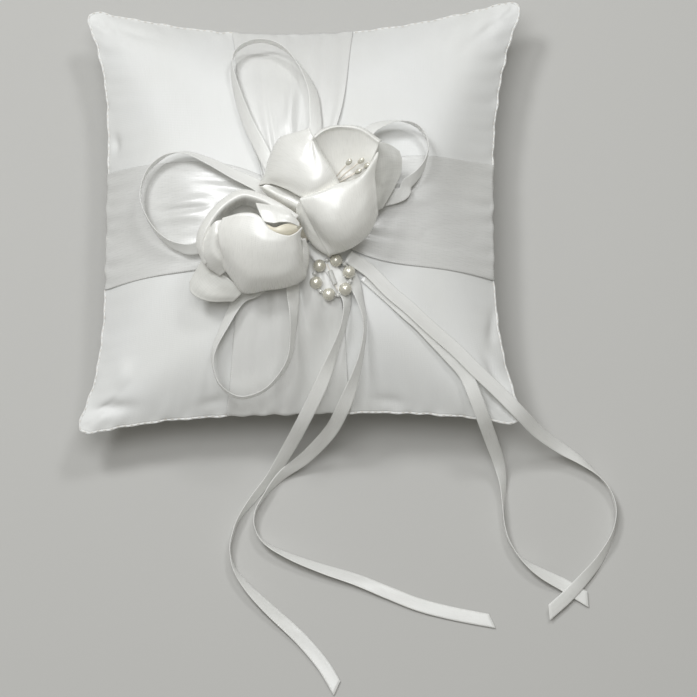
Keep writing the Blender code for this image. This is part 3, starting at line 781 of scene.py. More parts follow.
def simulateBag():
    # fills the sewn bag with pressure until the panels crown and the seams gather
    cells, half = pillow["cells"], pillow["flatHalf"]
    points, faces, index = flatBag(cells, half)
    mesh = bpy.data.meshes.new("bag")
    mesh.from_pydata(points, [], faces)
    bag = bpy.data.objects.new("bag", mesh)
    scene.collection.objects.link(bag)
    cloth = bag.modifiers.new("Cloth", "CLOTH")
    settings = cloth.settings
    settings.quality = 6
    settings.mass = 0.1
    settings.tension_stiffness = 15
    settings.compression_stiffness = 15
    settings.shear_stiffness = 5
    settings.bending_stiffness = pillow["bending"]
    settings.tension_damping = 6
    settings.compression_damping = 6
    settings.shear_damping = 6
    settings.bending_damping = 0.5
    settings.air_damping = 1
    settings.use_pressure = True
    settings.uniform_pressure_force = pillow["pressure"]
    settings.effector_weights.gravity = 0
    cloth.collision_settings.use_collision = False
    cloth.point_cache.frame_start = 1
    cloth.point_cache.frame_end = pillow["frames"]
    for step in range(1, pillow["frames"] + 1):
        scene.frame_set(step)
    evaluated = bag.evaluated_get(bpy.context.evaluated_depsgraph_get())
    settled = np.array([v.co for v in evaluated.data.vertices], float)
    panels = []
    for side in (1, -1):
        panel = np.zeros((cells + 1, cells + 1, 3))
        for i in range(cells + 1):
            for j in range(cells + 1):
                onRim = i in (0, cells) or j in (0, cells)
                panel[i, j] = settled[index[(0 if onRim else side, i, j)]]
        panels.append(easeCreases(panel))
    bpy.data.objects.remove(bag)
    scene.frame_set(1)
    return panels


def easeCreases(panel):
    # relaxes the fine creases of the filled bag; the seam is eased along itself only
    rim = ringOf(panel)
    corner = len(panel) - 1
    for _ in range(pillow["easing"]):
        eased = (np.roll(rim, 1, 0) + 2 * rim + np.roll(rim, -1, 0)) / 4
        eased[::corner] = rim[::corner]
        rim = eased
    sides = (rim[k * corner:(k + 1) * corner] for k in range(4))
    panel[0, :-1], panel[:-1, -1], panel[-1, :0:-1], panel[:0:-1, 0] = sides
    for _ in range(pillow["easing"]):
        middle = panel[1:-1, 1:-1]
        around = (panel[2:, 1:-1] + panel[:-2, 1:-1] + panel[1:-1, 2:] + panel[1:-1, :-2]) / 4
        panel[1:-1, 1:-1] = middle * (1 - pillow["eased"]) + around * pillow["eased"]
    return panel


def seamOutline(cells):
    # where the seam lies in plan, for each point of the rim of the square panel
    half = pillow["flatHalf"]
    tip = half - pillow["cornerRadius"] * (1 - math.sqrt(0.5))
    outline = np.zeros((cells + 1, cells + 1, 2))
    for i in range(cells + 1):
        for j in range(cells + 1):
            outline[i, j] = roundedCorner(half * (2 * i / cells - 1), half * (2 * j / cells - 1), half)
    u, v = outline[..., 0] / tip, outline[..., 1] / tip
    topLeft, topRight, bottomLeft, bottomRight = (np.array(corner) for corner in pillow["corners"])
    share = [q[..., None] / 4 for q in ((1 - u) * (1 + v), (1 + u) * (1 + v), (1 - u) * (1 - v),
                                        (1 + u) * (1 - v))]
    placed = topLeft * share[0] + topRight * share[1] + bottomLeft * share[2] + bottomRight * share[3]
    left, right = (pull * (1 - np.minimum(abs(v), 1) ** full) for pull,
                   full in zip(pillow["pulls"][:2], pillow["fullness"][:2]))
    top, bottom = (pull * (1 - np.minimum(abs(u), 1) ** full) for pull,
                   full in zip(pillow["pulls"][2:], pillow["fullness"][2:]))
    placed[..., 0] -= (right * (1 + u) + left * (1 - u)) / 2 * u
    placed[..., 1] -= (top * (1 + v) + bottom * (1 - v)) / 2 * v
    return placed


def placeOnPillow(panel, rise, seamHeight):
    # carries the rim of the filled bag to the seam's outline and takes the inside along
    cells = len(panel) - 1
    wide = np.linalg.norm(np.subtract(*pillow["corners"][:2])) / np.linalg.norm(panel[0, -1,
            :2] - panel[-1, -1, :2])
    outline = seamOutline(cells)
    plan = panel[..., :2] * wide * (1 - pillow["evenness"]) + outline * pillow["evenness"]
    off = outline - plan
    s, t = np.meshgrid(np.linspace(0, 1, cells + 1), np.linspace(0, 1, cells + 1), indexing="ij")
    s, t = s[..., None], t[..., None]
    sides = (1 - s) * off[:1] + s * off[-1:] + (1 - t) * off[:, :1] + t * off[:, -1:]
    tips = ((1 - s) * (1 - t) * off[0, 0] + s * (1 - t) * off[-1, 0] + (1 - s) * t * off[0,
            -1] + s * t * off[-1, -1])
    return np.concatenate((plan + sides - tips, seamHeight + panel[..., 2:] * rise), -1)


def puckerSeam(grid, side):
    # scallops in the outline and small folds that run in from the seam and fade out
    count = len(grid) - 1
    flat = np.linspace(0, 1, count + 1)
    s, t = np.meshgrid(flat, flat, indexing="ij")
    size = 0.21
    normal = gridNormals(grid)
    inward = np.zeros(grid.shape)
    lift = np.zeros(s.shape)
    for number, (away, along, way) in enumerate((
            (s, t, (1, 0, 0)), (1 - s, t, (-1, 0, 0)), (t, s, (0, 1, 0)), (1 - t, s, (0, -1, 0)))):
        first, second, slow = puckers["perSide"]
        wander = 0.6 * np.sin(2 * math.pi * (3.1 * along + 0.37 * number))
        wave = (np.sin(2 * math.pi * first * along + 1.7 * number + 3 * wander)
                + 0.55 * np.sin(2 * math.pi * second * along + 2.3 * number - 4 * wander)
                + 0.6 * np.sin(2 * math.pi * slow * along + 0.9 * number + 2 * wander)) / 1.6
        ends = smoothStep(along, 0, 0.05) * smoothStep(1 - along, 0, 0.05)
        near = np.exp(-away * size / puckers["foldReach"])
        inward += (wave * ends * np.exp(-away * size / 0.004))[...,
                                                               None] * np.array(way) * puckers["scallop"]
        lift += wave * ends * near * (1 - np.exp(-away * size / puckers["seamFade"])) * puckers["fold"]
    return grid + inward + normal * lift[..., None] * side


def dentFront(grid):
    flat = np.linspace(0, 1, len(grid))
    s, t = np.meshgrid(flat, flat, indexing="ij")
    normal = gridNormals(grid)
    depth = np.zeros(s.shape)
    for across, up, wide, long, turn, deep in dents:
        angle = math.radians(turn)
        a = (s - across) * math.cos(angle) + (t - up) * math.sin(angle)
        b = (t - up) * math.cos(angle) - (s - across) * math.sin(angle)
        depth += deep * np.exp(-((a / wide) ** 2) - (b / long) ** 2)
    edge = np.minimum(np.minimum(s, 1 - s), np.minimum(t, 1 - t))
    return grid - normal * (depth * (1 - np.exp(-edge / 0.01)))[..., None]


def settleOnTable(grid):
    soft = pillow["restSoftness"]
    z = grid[..., 2]
    grid[..., 2] = (z + np.sqrt(z * z + soft * soft)) / 2
    return grid


def squarePlaces(count, size=0.21):
    flat = np.linspace(0, size, count)
    s, t = np.meshgrid(flat, flat, indexing="ij")
    edge = np.minimum(np.minimum(s, size - s), np.minimum(t, size - t))
    return np.stack((s, t, edge), -1)


def makePanels():
    front, back = simulateBag()
    seamHeight = (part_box("cover_front")[0].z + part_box("cover_back")[1].z) / 2
    rise = (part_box("cover_front")[1].z - seamHeight) / front[..., 2].max()
    fine = pillow["fineCells"] + 1
    front = placeOnPillow(front, rise, seamHeight)
    back = placeOnPillow(back, rise, seamHeight)
    front = dentFront(puckerSeam(refine(front, fine, fine), 1))
    back = settleOnTable(puckerSeam(refine(back, fine, fine), -1))
    return front, back


def ringOf(grid):
    return np.concatenate((grid[0, :-1], grid[:-1, -1], grid[-1, :0:-1], grid[:0:-1, 0]))


def addPillow(front, back, satin, thread, fibre):
    fine = len(front)
    places = squarePlaces(fine)
    thickness = pillow["thickness"]
    top = addSheet("coverFront", front, thickness, places, satin, "pillow")
    bottom = addSheet("coverBack", back, thickness, places, satin, "pillow")
    for item, node in ((top, "cover_front"), (bottom, "cover_back")):
        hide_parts(node)
    # the turned edge of both panels, which shows as a thin pale line round the seam
    seam = ringOf(front) * 0.5 + ringOf(back) * 0.5
    lip = addTube("seamLip", seam, 0.0006, 10, satin, "pillow", closed=True, squash=0.8)
    addStitches(seam, thread)
    # filling: the same shape, set in from the cover
    inset = pillow["fillInset"]
    every = slice(None, None, 4)
    upper = (front - gridNormals(front) * inset)[every, every]
    lower = (back + gridNormals(back) * inset)[every, every]
    middle = (upper + lower) / 2
    shrink = 1 - 2 * np.exp(-squarePlaces(len(upper))[..., 2:3] / 0.004) * inset / 0.1
    upper = np.maximum(upper, middle + (0, 0, 0.0002)) * shrink
    lower = np.minimum(lower, middle - (0, 0, 0.0002)) * shrink
    rows = len(upper)
    index = np.arange(rows * rows).reshape(rows, rows)
    a, b, c, d = (q.ravel() for q in (index[:-1, :-1], index[1:, :-1], index[1:, 1:], index[:-1, 1:]))
    quads = np.stack((a, b, c, d), 1)
    rim = ringOf(index[..., None])[:, 0]
    after = np.roll(rim, -1)
    size = rows * rows
    faces = np.concatenate((quads, quads[:, ::-1] + size,
                            np.stack((rim, after, after + size, rim + size), 1)))
    filling = finishMesh("fibreFilling", np.concatenate((upper.reshape(-1, 3), lower.reshape(-1, 3))),
                         faces, fibre, "pillow")
    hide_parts("fibre_filling")


stitches = {
    "pitch": 0.0032,
    "length": 0.0019,
    "radius": 0.00011,
    "standOff": 0.00005,
    "rise": (0.0003, 0.0007, 0.0007, 0.0003),
}


def addStitches(seam, thread):
    # short stitches that close the seam, just inside its lip
    closed = np.concatenate((seam, seam[:1]))
    length = np.concatenate(([0], np.cumsum(np.linalg.norm(np.diff(closed, axis=0), axis=1))))
    points, faces = [], []
    for start in np.arange(0, length[-1] - stitches["pitch"], stitches["pitch"]):
        at = np.linspace(start, start + stitches["length"], 4)
        run = np.stack([np.interp(at, length, closed[:, k]) for k in range(3)], 1)
        outward = unit(run[1] * (1, 1, 0))
        run = run + outward * stitches["standOff"]
        run[:, 2] += np.array(stitches["rise"])
        along = unit(run[-1] - run[0])
        side = np.cross(along, (0, 0, 1.0))
        base = len(points)
        for spot in run:
            for turn in range(5):
                angle = 2 * math.pi * turn / 5
                points.append(spot + (side * math.cos(angle) + np.array((0, 0,
                        1.0)) * math.sin(angle)) * stitches["radius"])
        for ring in range(3):
            for turn in range(5):
                here, after = base + ring * 5, base + ring * 5 + 5
                faces.append((here + turn, here + (turn + 1) % 5, after + (turn + 1) % 5, after + turn))
        faces += [tuple(base + k for k in range(5))[::-1], tuple(base + 15 + k for k in range(5))]
    item = finishMesh("seamStitches", points, faces, thread, "pillow")


# Sashes: two wide ribbons gathered under the flowers.

sash = {
    "flatWidth": 0.057,
    "flatLength": 0.215,
    "thickness": 0.00035,
    "selvage": 0.00015,
    "seamHalf": 0.272,
    "middleHalf": 0.125,
    "lift": 0.0006,
    "overLift": 0.0022,
    "gatherFolds": 5.5,
    "acrossMiddle": -0.06,
    "downMiddle": -0.05,
    "rows": 240,
    "columns": 64,
    "seamTuck": 0.0003,
    "tuckReach": 0.07,
    "seamReach": 0.999,
    "swell": 0.00022,
}

# folds pressed into each sash: start and end as (along, across) from -1 to 1, half width in metres, height
acrossFolds = (
    ((-0.74, 0.10), (-0.46, 0.13), 0.0011, -0.0016),
    ((-0.74, 0.24), (-0.42, 0.26), 0.0028, 0.0011),
    ((-0.74, -0.02), (-0.44, -0.02), 0.0028, 0.0011),
    ((-0.98, -0.25), (-0.60, 0.42), 0.0050, -0.0009),
    ((-0.98, 0.15), (-0.70, 0.70), 0.0050, 0.0006),
    ((0.34, 0.28), (0.60, 0.46), 0.0012, -0.0014),
    ((0.34, 0.05), (0.66, 0.22), 0.0035, 0.0013),
    ((0.60, -0.55), (0.97, -0.15), 0.0060, -0.0008),
)
downFolds = (
    ((-0.30, 0.10), (-0.62, 0.30), 0.0010, -0.0018),
    ((-0.28, 0.30), (-0.60, 0.48), 0.0028, 0.0012),
    ((-0.28, -0.10), (-0.60, 0.12), 0.0030, 0.0011),
    ((-0.40, -0.55), (-0.95, -0.45), 0.0045, -0.0010),
    ((0.30, -0.15), (0.62, 0.05), 0.0030, 0.0010),
    ((0.28, 0.25), (0.80, 0.20), 0.0040, -0.0009),
)


def foldHeights(along, across, folds, halfWidth):
    # along and across are grids from -1 to 1; ridges and creases fade out at both ends
    x, y = along * 0.1, across * halfWidth
    height = np.zeros(along.shape)
    for start, end, wide, high in folds:
        a = np.array((start[0] * 0.1, start[1] * sash["flatWidth"] / 2))
        b = np.array((end[0] * 0.1, end[1] * sash["flatWidth"] / 2))
        way = b - a
        share = ((x - a[0]) * way[0] + (y - a[1]) * way[1]) / (way @ way)
        away = abs((x - a[0]) * way[1] - (y - a[1]) * way[0]) / np.linalg.norm(way)
        fade = smoothStep(share, -0.15, 0.25) * smoothStep(1 - share, -0.15, 0.35)
        height += high * np.exp(-((away / wide) ** 2)) * fade
    return height


def sashGrid(front, middle, acrossReach, gatherDepth, folds, lift, overLift, turned):
    along = np.linspace(-1, 1, sash["rows"])
    side = np.linspace(-1, 1, sash["columns"])
    a, c = np.meshgrid(along, side, indexing="ij")
    opened = 1 - np.exp(-((a / acrossReach) ** 2))
    half = sash["middleHalf"] + (sash["seamHalf"] - sash["middleHalf"]) * opened
    s = (a * sash["seamReach"] + 1) / 2
    t = (middle + c * half + 1) / 2
    if turned:
        s, t = t, s
    surface = readGrid(front, s, t)
    normal = unit(readGrid(gridNormals(front), s, t))
    gather = np.exp(-((a / (acrossReach * 1.5)) ** 2))
    wave = (np.sin(math.pi * sash["gatherFolds"] * c + 1.1 * np.sin(3.1 * a) + 0.6)
            + 0.4 * np.sin(math.pi * 9.3 * c + 4 * a))
    height = gatherDepth * gather * (wave + 1.4)
    atSeam = np.exp(-(1 - abs(a)) / sash["tuckReach"])
    tucks = sash["seamTuck"] * atSeam * np.sin(math.pi * 7.7 * c + 5 * np.sign(a))
    height += tucks * (1 - np.exp(-(1 - abs(a)) / 0.01))
    height += foldHeights(a, c, folds, half * 0.105)
    height += sash["swell"] * np.sin(9 * a + 4 * c) * np.sin(5 * c - 3 * a)
    height = np.maximum(height, -lift * 0.7)
    over = lift + (overLift - lift) * np.exp(-((a / 0.5) ** 4))
    grid = surface + normal * (over + height)[..., None]
    places = np.stack((c * sash["flatWidth"] / 2, a * sash["flatLength"] / 2,
                       (1 - abs(c)) * sash["flatWidth"] / 2), -1)
    return grid, places


# the across sash takes the satin with painted shade, the down sash the one with painted light
def addSashes(front, acrossShadedSatin, downLitSatin):
    made = []
    across, places = sashGrid(front, sash["acrossMiddle"], 0.28, 0.0005, acrossFolds, sash["lift"],
                              sash["lift"], False)
    made.append(addSheet("sash_across_cloth", across, sash["thickness"], places, acrossShadedSatin, "pillow",
                         sash["selvage"], 0.0008))
    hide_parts("sash_across")
    down, places = sashGrid(front, sash["downMiddle"], 0.36, 0.0006, downFolds, sash["lift"],
                            sash["overLift"], True)
    made.append(addSheet("sash_down_cloth", down, sash["thickness"], places, downLitSatin, "pillow",
                         sash["selvage"], 0.0008))
    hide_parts("sash_down")
    return made


def clothTree(*items):
    points, faces = [], []
    for item in items:
        base = len(points)
        points += [v.co.copy() for v in item.data.vertices]
        faces += [tuple(base + k for k in polygon.vertices) for polygon in item.data.polygons]
    return BVHTree.FromPolygons(points, faces)


# Flowers: a bud and an open flower of folded satin petals.

petal = {
    "thickness": 0.00038,
    "hem": 0.0002,
    "hemWidth": 0.0008,
    "rows": 44,
    "columns": 56,
    "crumple": 0.00022,
    "footHeight": 0.0685,
    "footRadius": 0.0045,
    "footReach": 0.62,
    "footRise": 0.30,
    "crumpleSize": 0.011,
    "fineCrumple": 0.35,
    "fineSize": 0.003,
    "sheerThickness": 0.00025,
    "sheerHem": 0.0002,
}

# Petals as rows of points in millimetres from the middle of their flower, outer edge first
flowers = {
    "bud_petal_back": (
        ((-20.5, -10, -6.5), (-24, -1, -3.5), (-21.5, 7.5, -0.5), (-14.5, 16.5, 1.5), (-5, 22, 3.5),
         (4, 20.5, 5.5), (13.5, 15.5, 6.5), (22, 10, 5.5)),
        ((-19.5, -9.5, -4), (-22.5, -2.5, 0), (-20, 5, 3), (-13.5, 14, 5), (-4.5, 19.5, 7), (3.5, 18, 8.5),
         (12, 13.5, 9), (20.5, 8, 7.5)),
        ((-18.5, -9, -5), (-21, -2.5, -1.5), (-18.5, 4, 1.5), (-12.5, 12.5, 3.5), (-4, 17.5, 5.5),
         (2.5, 16.5, 6.5), (10.5, 12.5, 7), (18.5, 7.5, 5.5)),
        ((-18, -7.5, -7.5), (-20, -2, -5.5), (-17, 4, -3.5), (-11, 12, -2.5), (-4, 16.5, -0.5),
         (1.5, 15.5, 0.5), (9, 11.5, 1.5), (17, 7, 1.5)),
    ),
    "bud_petal_left": (
        ((-21.5, 3, -2.5), (-23.5, -2.5, -4.5), (-22, -7, -6.5), (-19, -11, -8.5), (-14, -14, -10.5)),
        ((-18, 5, 3), (-19, -0.5, 2.5), (-17.5, -6, 1.5), (-14.5, -9.5, -1), (-10, -12, -6)),
        ((-15, 7.5, 5), (-15, 2, 5.5), (-14, -2.5, 3), (-10.5, -7, -0.5), (-6.5, -10, -5)),
        ((-9, 8.5, 4), (-9, 3.5, 3.5), (-7.5, -2, 2), (-5.5, -5.5, 0), (-2, -8.5, -3.5)),
    ),
    "bud_petal_front": (
        ((-12, -11.5, -6.5), (-7.5, -17, -9.5), (-2.5, -22, -11.5), (7.5, -21, -10.5), (17, -19.5, -9.5),
         (23, -17, -8.5), (25, -12, -7.5)),
        ((-12, -8.5, 0.5), (-6.5, -14.5, 1), (-0.5, -18.5, 0), (8.5, -18.5, 0.5), (16.5, -17, 0.5),
         (22, -13.5, 0), (24.5, -8, -1.5)),
        ((-13.5, -3.5, 5), (-6, -7.5, 7.5), (2, -11.5, 7), (9.5, -12, 7), (16, -10.5, 6.5), (21, -8, 5.5),
         (23.5, -3.5, 3.5)),
        ((-14, 3.5, 7.5), (-6, 0.5, 10.5), (3, -3, 12), (10.5, -4.5, 11.5), (16, -4, 10.5),
         (20.5, -2.5, 9), (23, 0.5, 7)),
        ((-12, 8, 9), (-3, 9.5, 12), (4, 8, 13.5), (10, 1.5, 12.5), (17, -1, 11.5), (21, 0.5, 10.5),
         (24, 3.5, 9.5)),
    ),
    "bud_petal_inner": (
        ((3, 14.5, 10.5), (8, 13.5, 11.5), (13.5, 12.5, 12), (18, 10.5, 11.5), (22.5, 5.5, 10)),
        ((4, 11.5, 12.5), (9.5, 10.5, 13.5), (14.5, 9, 13.5), (19, 7.5, 13), (22.5, 4.5, 10.5)),
        ((6.5, 5.5, 13.5), (11, 4.5, 14), (14, 5, 14), (18.5, 5, 13), (22.5, 4, 10.5)),
    ),
    "bud_core": (
        ((8, 4, 12.5), (11.5, 2.5, 12.5), (14.5, 3.5, 12.5), (18, 4.5, 12), (21.5, 4.5, 10.5)),
        ((8.5, 2.5, 12), (12, 1, 12), (15, 1, 12), (18.5, 2, 11), (21.5, 3, 10)),
        ((9, 0.5, 9.5), (13, -0.5, 9), (16.5, -1.5, 8.5), (19.5, 0, 8), (22.5, 2, 7.5)),
    ),
    "bud_petal_right": (
        ((21, -18, -10.5), (24.5, -15.5, -9.5), (25.5, -12, -8.5), (26.5, -8, -6.5), (26.5, -3.5, -3.5),
         (25, 0.5, 1)),
        ((19.5, -15.5, -4.5), (22.5, -13.5, -3.5), (23.5, -10.5, -3), (24.5, -8, -1), (25, -4, 1),
         (24, -1, 4.5)),
        ((17, -11.5, -5.5), (20, -10, -4), (22.5, -8, -2), (23.5, -5.5, -0.5), (23.5, -2.5, 1.5),
         (23, 0.5, 3.5)),
    ),
    "open_petal_left": (
        ((-31, 2, -8), (-28.5, 7, -6), (-26.5, 13.5, -3), (-22, 21.5, 1), (-15, 23, 5), (-8, 23.5, 9)),
        ((-25, 1.5, -2.5), (-23.5, 4.5, 2.5), (-21, 11, 5.5), (-17.5, 16.5, 7.5), (-13, 19.5, 9),
         (-7.5, 22.5, 10.5)),
        ((-18.5, -2, 2), (-15, 1, 7.5), (-13.5, 6.5, 9.5), (-11.5, 11.5, 10.5), (-9.5, 16, 11),
         (-6.5, 20.5, 11)),
        ((-7.5, -7.5, 5), (-5.5, -3, 9.5), (-5.5, 2, 11), (-6, 8, 11.5), (-6.5, 14, 11.5), (-6, 20, 11)),
        ((5.5, -2, 6), (2.5, 3, 10), (-0.5, 7.5, 11.5), (-3.5, 12, 12), (-5.5, 16, 12), (-6.5, 19, 12)),
        ((5, -0.5, 3), (3, 5, 6), (0, 10, 7.5), (-2.5, 14, 8), (-4.5, 18, 8.5), (-5.5, 20.5, 9)),
    ),
    "open_petal_front": (
        ((1.5, -30, -11), (5.5, -29, -11.5), (9.5, -27.5, -11), (13.5, -25.5, -10), (17.5, -22.5, -8.5),
         (20, -19.5, -7), (22.5, -13, -5)),
        ((-4.5, -21.5, -4), (1.5, -25.5, -2.5), (6.5, -26.5, -1.5), (11, -25, -0.5), (15.5, -21.5, 0),
         (19.5, -16.5, 0.5), (23, -8.5, 0.5)),
        ((-7.5, -16.5, 1.5), (-2.5, -19.5, 4.5), (3, -20.5, 6), (8.5, -19.5, 6), (14, -16, 6),
         (18.5, -10.5, 5.5), (22.5, -2.5, 3.5)),
        ((-10, -12.5, 5), (-4.5, -13, 8), (0.5, -13.5, 9), (7, -12, 9.5), (13, -9, 9), (18, -4, 8),
         (22, 4.5, 6)),
        ((-12, -8.5, 7), (-5.5, -7, 9), (-0.5, -5.5, 10), (5.5, -3, 10.5), (12.5, -1, 10.5), (17.5, 3, 10),
         (23.5, 13, 7)),
        ((-11, -7, 5), (-5.5, -5, 6), (0, -3.5, 7), (5.5, -1, 7), (12.5, 1, 7), (17.5, 5, 6.5),
         (23, 14, 5)),
    ),
    "open_petal_under": (
        ((-13, -8.5, 1), (-14, -11.5, -3), (-12, -16.5, -6), (-9, -22, -9), (-4.5, -26.5, -12),
         (1.5, -29.5, -14)),
        ((-11.5, -10, 4), (-11.5, -13.5, 1), (-9.5, -18, -2), (-6.5, -22, -5), (-2.5, -25.5, -8),
         (1.5, -29.5, -11)),
        ((-8.5, -12, 3), (-7.5, -15.5, 1), (-5.5, -19.5, -2), (-2.5, -23, -5), (0.5, -25.5, -8),
         (3, -28.5, -10.5)),
    ),
    "open_petal_lobe": (
        ((-30.5, 2, -10), (-27.5, -1.5, -11), (-23.5, -4.5, -11), (-18.5, -8, -11), (-14.5, -10, -10)),
        ((-30, 1, -6), (-25.5, -2, -4.5), (-21, -5, -4), (-17, -7.5, -3.5), (-13.5, -9.5, -3)),
        ((-27.5, 2, -5), (-23.5, 0.5, -4.5), (-18.5, -1, -4), (-15, -3, -3), (-11, -6.5, -2)),
    ),
    "open_petal_back": (
        ((2.5, -1.5, -5), (3.5, -1.5, -5), (5.5, -1.5, -5), (9, -0.5, -5), (12.5, 1, -4)),
        ((-0.5, 5, -3), (3, 6.5, -4), (7, 8, -4.5), (12.5, 8, -4), (18, 7.5, -2)),
        ((-4.5, 12.5, 3), (1, 16, 1), (7, 17.5, 0.5), (14.5, 16.5, 1), (21, 12.5, 2)),
        ((-5.5, 18.5, 8), (-0.5, 22.5, 7), (6.5, 24, 6.5), (15.5, 22.5, 6), (23.5, 17.5, 4.5)),
        ((-5.5, 20, 10), (-1, 23.5, 9.5), (5.5, 25.5, 9), (15.5, 24.5, 8), (24, 19, 6)),
        ((-5.5, 21.5, 8), (-1.5, 25, 7), (5.5, 26.5, 6.5), (16, 26, 5.5), (25, 20, 4)),
    ),
    "sheer_petal_right": (
        ((18, 18, -7), (18, 11.5, -9), (18, 5, -10), (18, -2.5, -11), (19, -8.5, -12)),
        ((24, 22, -6), (26, 15, -8), (26, 7, -10), (24.5, 0, -12), (22.5, -8, -14)),
        ((29.5, 21.5, -9), (31.5, 15.5, -11), (31, 9, -13), (28.5, 2.5, -14), (24.5, -7, -16)),
        ((33.5, 19.5, -12), (34.5, 15.5, -13.5), (34, 9.5, -15), (30.5, 2, -16), (25.5, -6.5, -17)),
    ),
    "sheer_petal_left": (
        ((-16.5, -4, -10.5), (-14.5, -11, -11), (-10, -15.5, -11.5), (-3, -20, -12)),
        ((-21.5, -6, -11.5), (-20, -13.5, -12.5), (-14.5, -19.5, -13), (-4.5, -22, -13.5)),
        ((-25, -11, -12.5), (-24.5, -18, -13.5), (-18, -23, -14), (-6, -23.5, -14.5)),
        ((-28, -16.5, -13.5), (-27, -21.5, -15), (-19.5, -25, -15.5), (-8, -25, -16)),
    ),
}

# where each flower is stitched down, and which petals reach that far
flowerFeet = {"bud": (-0.0165, -0.0195), "open": (0.0065, -0.0070)}
openMiddle = (0.012, -0.001, 0.085)
looseEnds = ("bud_petal_inner", "bud_core", "sheer_petal_left", "sheer_petal_right")


def crumpled(grid, amount, size, seed):
    normal = gridNormals(grid)
    flat = grid.reshape(-1, 3)
    height = np.array([noise.noise(Vector(p) / size + Vector((seed, seed * 0.7, 0))) for p in flat])
    return grid + normal * (height.reshape(grid.shape[:2]) * amount)[..., None]


def petalPlaces(grid):
    across = np.linalg.norm(np.diff(grid, axis=1), axis=2).mean(0)
    along = np.linalg.norm(np.diff(grid, axis=0), axis=2).mean(1)
    x = np.concatenate(([0], np.cumsum(across)))
    y = np.concatenate(([0], np.cumsum(along)))
    s, t = np.meshgrid(y, x, indexing="ij")
    edge = np.minimum(np.minimum(s, s.max() - s), np.minimum(t, t.max() - t))
    return np.stack((t, s, edge), -1)


def addPetals(petalSatin, centreSatin, sheer):
    for order, (name, rows) in enumerate(flowers.items()):
        flower = "bud" if name.startswith("bud") or name == "sheer_petal_left" else "open"
        low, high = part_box(flower + "_core")
        middle = np.array((low + high) / 2) if flower == "bud" else np.array(openMiddle)
        net = np.array(rows, float) / 1000 + middle
        if name not in looseEnds:
            foot = np.array((*flowerFeet[flower], petal["footHeight"]))
            base = net[0]
            outward = unit((base - foot) * (1, 1, 0))
            under = foot + (base - foot) * petal["footReach"]
            under[:, 2] = foot[2] + (base[:, 2] - foot[2]) * petal["footRise"]
            start = foot + outward * petal["footRadius"]
            net = np.concatenate((start[None], under[None], net))
        grid = refine(net, petal["rows"], petal["columns"])
        grid = crumpled(grid, petal["crumple"], petal["crumpleSize"], order * 3.7)
        grid = crumpled(grid, petal["crumple"] * petal["fineCrumple"], petal["fineSize"], order * 1.9)
        isSheer = name.startswith("sheer")
        material = sheer if isSheer else centreSatin if name == "bud_core" else petalSatin
        thickness = petal["sheerThickness"] if isSheer else petal["thickness"]
        hem = petal["sheerHem"] if isSheer else petal["hem"]
        item = addSheet(name + "_cloth", grid, thickness, petalPlaces(grid), material, "pillow", hem,
                        petal["hemWidth"])
        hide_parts(name)


# Beads and stamens.

beads = {
    "pearlRadius": 0.003,
    "pearlBore": 0.00045,
    "seedRadius": 0.00105,
    "seedBore": 0.00042,
    "rodRadius": 0.0012,
    "rodBore": 0.0003,
    "sides": 40,
    "seedSides": 28,
    "rodSides": 32,
    "riceLength": 1.05,
    "riceWidth": 1.35,
    "stemRadius": 0.00042,
    "stemTaper": 0.0001,
    "stemBow": 0.0006,
}


def beadProfile(radius, bore, half=None):
    # from one mouth of the bore over the outside to the other, then back through the bore
    if half is None:
        tilt = math.asin(bore / radius)
        profile = [(radius * math.sin(a), -radius * math.cos(a)) for a in np.linspace(tilt, math.pi - tilt,
                                                                                      25)]
        profile[0] = (bore * 1.25, profile[0][1])
        profile[-1] = (bore * 1.25, profile[-1][1])
        return profile + [(bore, -profile[0][1] * 0.9), (bore, profile[0][1] * 0.9)]
    turns = np.linspace(0, math.pi / 2, 6)
    soft = radius * 0.35
    ends = [(radius - soft + soft * math.sin(a), -half + soft - soft * math.cos(a)) for a in turns]
    return [(bore, -half), *ends, *[(r, -z) for r, z in ends[::-1]], (bore, half)]


def addBeads(pearl, glass):
    bodies = {joint["child"]: joint for joint in frame["joints"]}
    for number in range(1, 7):
        name = f"pearl_{number}"
        item = addTurned(name + "_bead", nodePoints(name).mean(0), bodies[name]["axis"],
                         beadProfile(beads["pearlRadius"], beads["pearlBore"]), beads["sides"], pearl, name)
        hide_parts(name)
    pearls = np.array([nodePoints(f"pearl_{k}").mean(0) for k in range(1, 7)])
    middle = pearls.mean(0)
    upward = unit(np.cross(pearls[1] - middle, pearls[0] - middle))
    for number in range(1, 7):
        name = f"seed_bead_{number}"
        centre = nodePoints(name).mean(0)
        axis = np.cross(upward, unit(centre - middle))
        item = addTurned(name + "_glass", centre, axis, beadProfile(beads["seedRadius"], beads["seedBore"]),
                         beads["seedSides"], glass, "bead_ring")
        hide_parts(name)
    points = nodePoints("rod_bead")
    axis = longAxis(points)
    half = np.ptp((points - points.mean(0)) @ axis) / 2
    item = addTurned("rod_bead_glass", points.mean(0), axis,
                     beadProfile(beads["rodRadius"], beads["rodBore"], half),
                     beads["rodSides"], glass, "bead_ring")
    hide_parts("rod_bead")


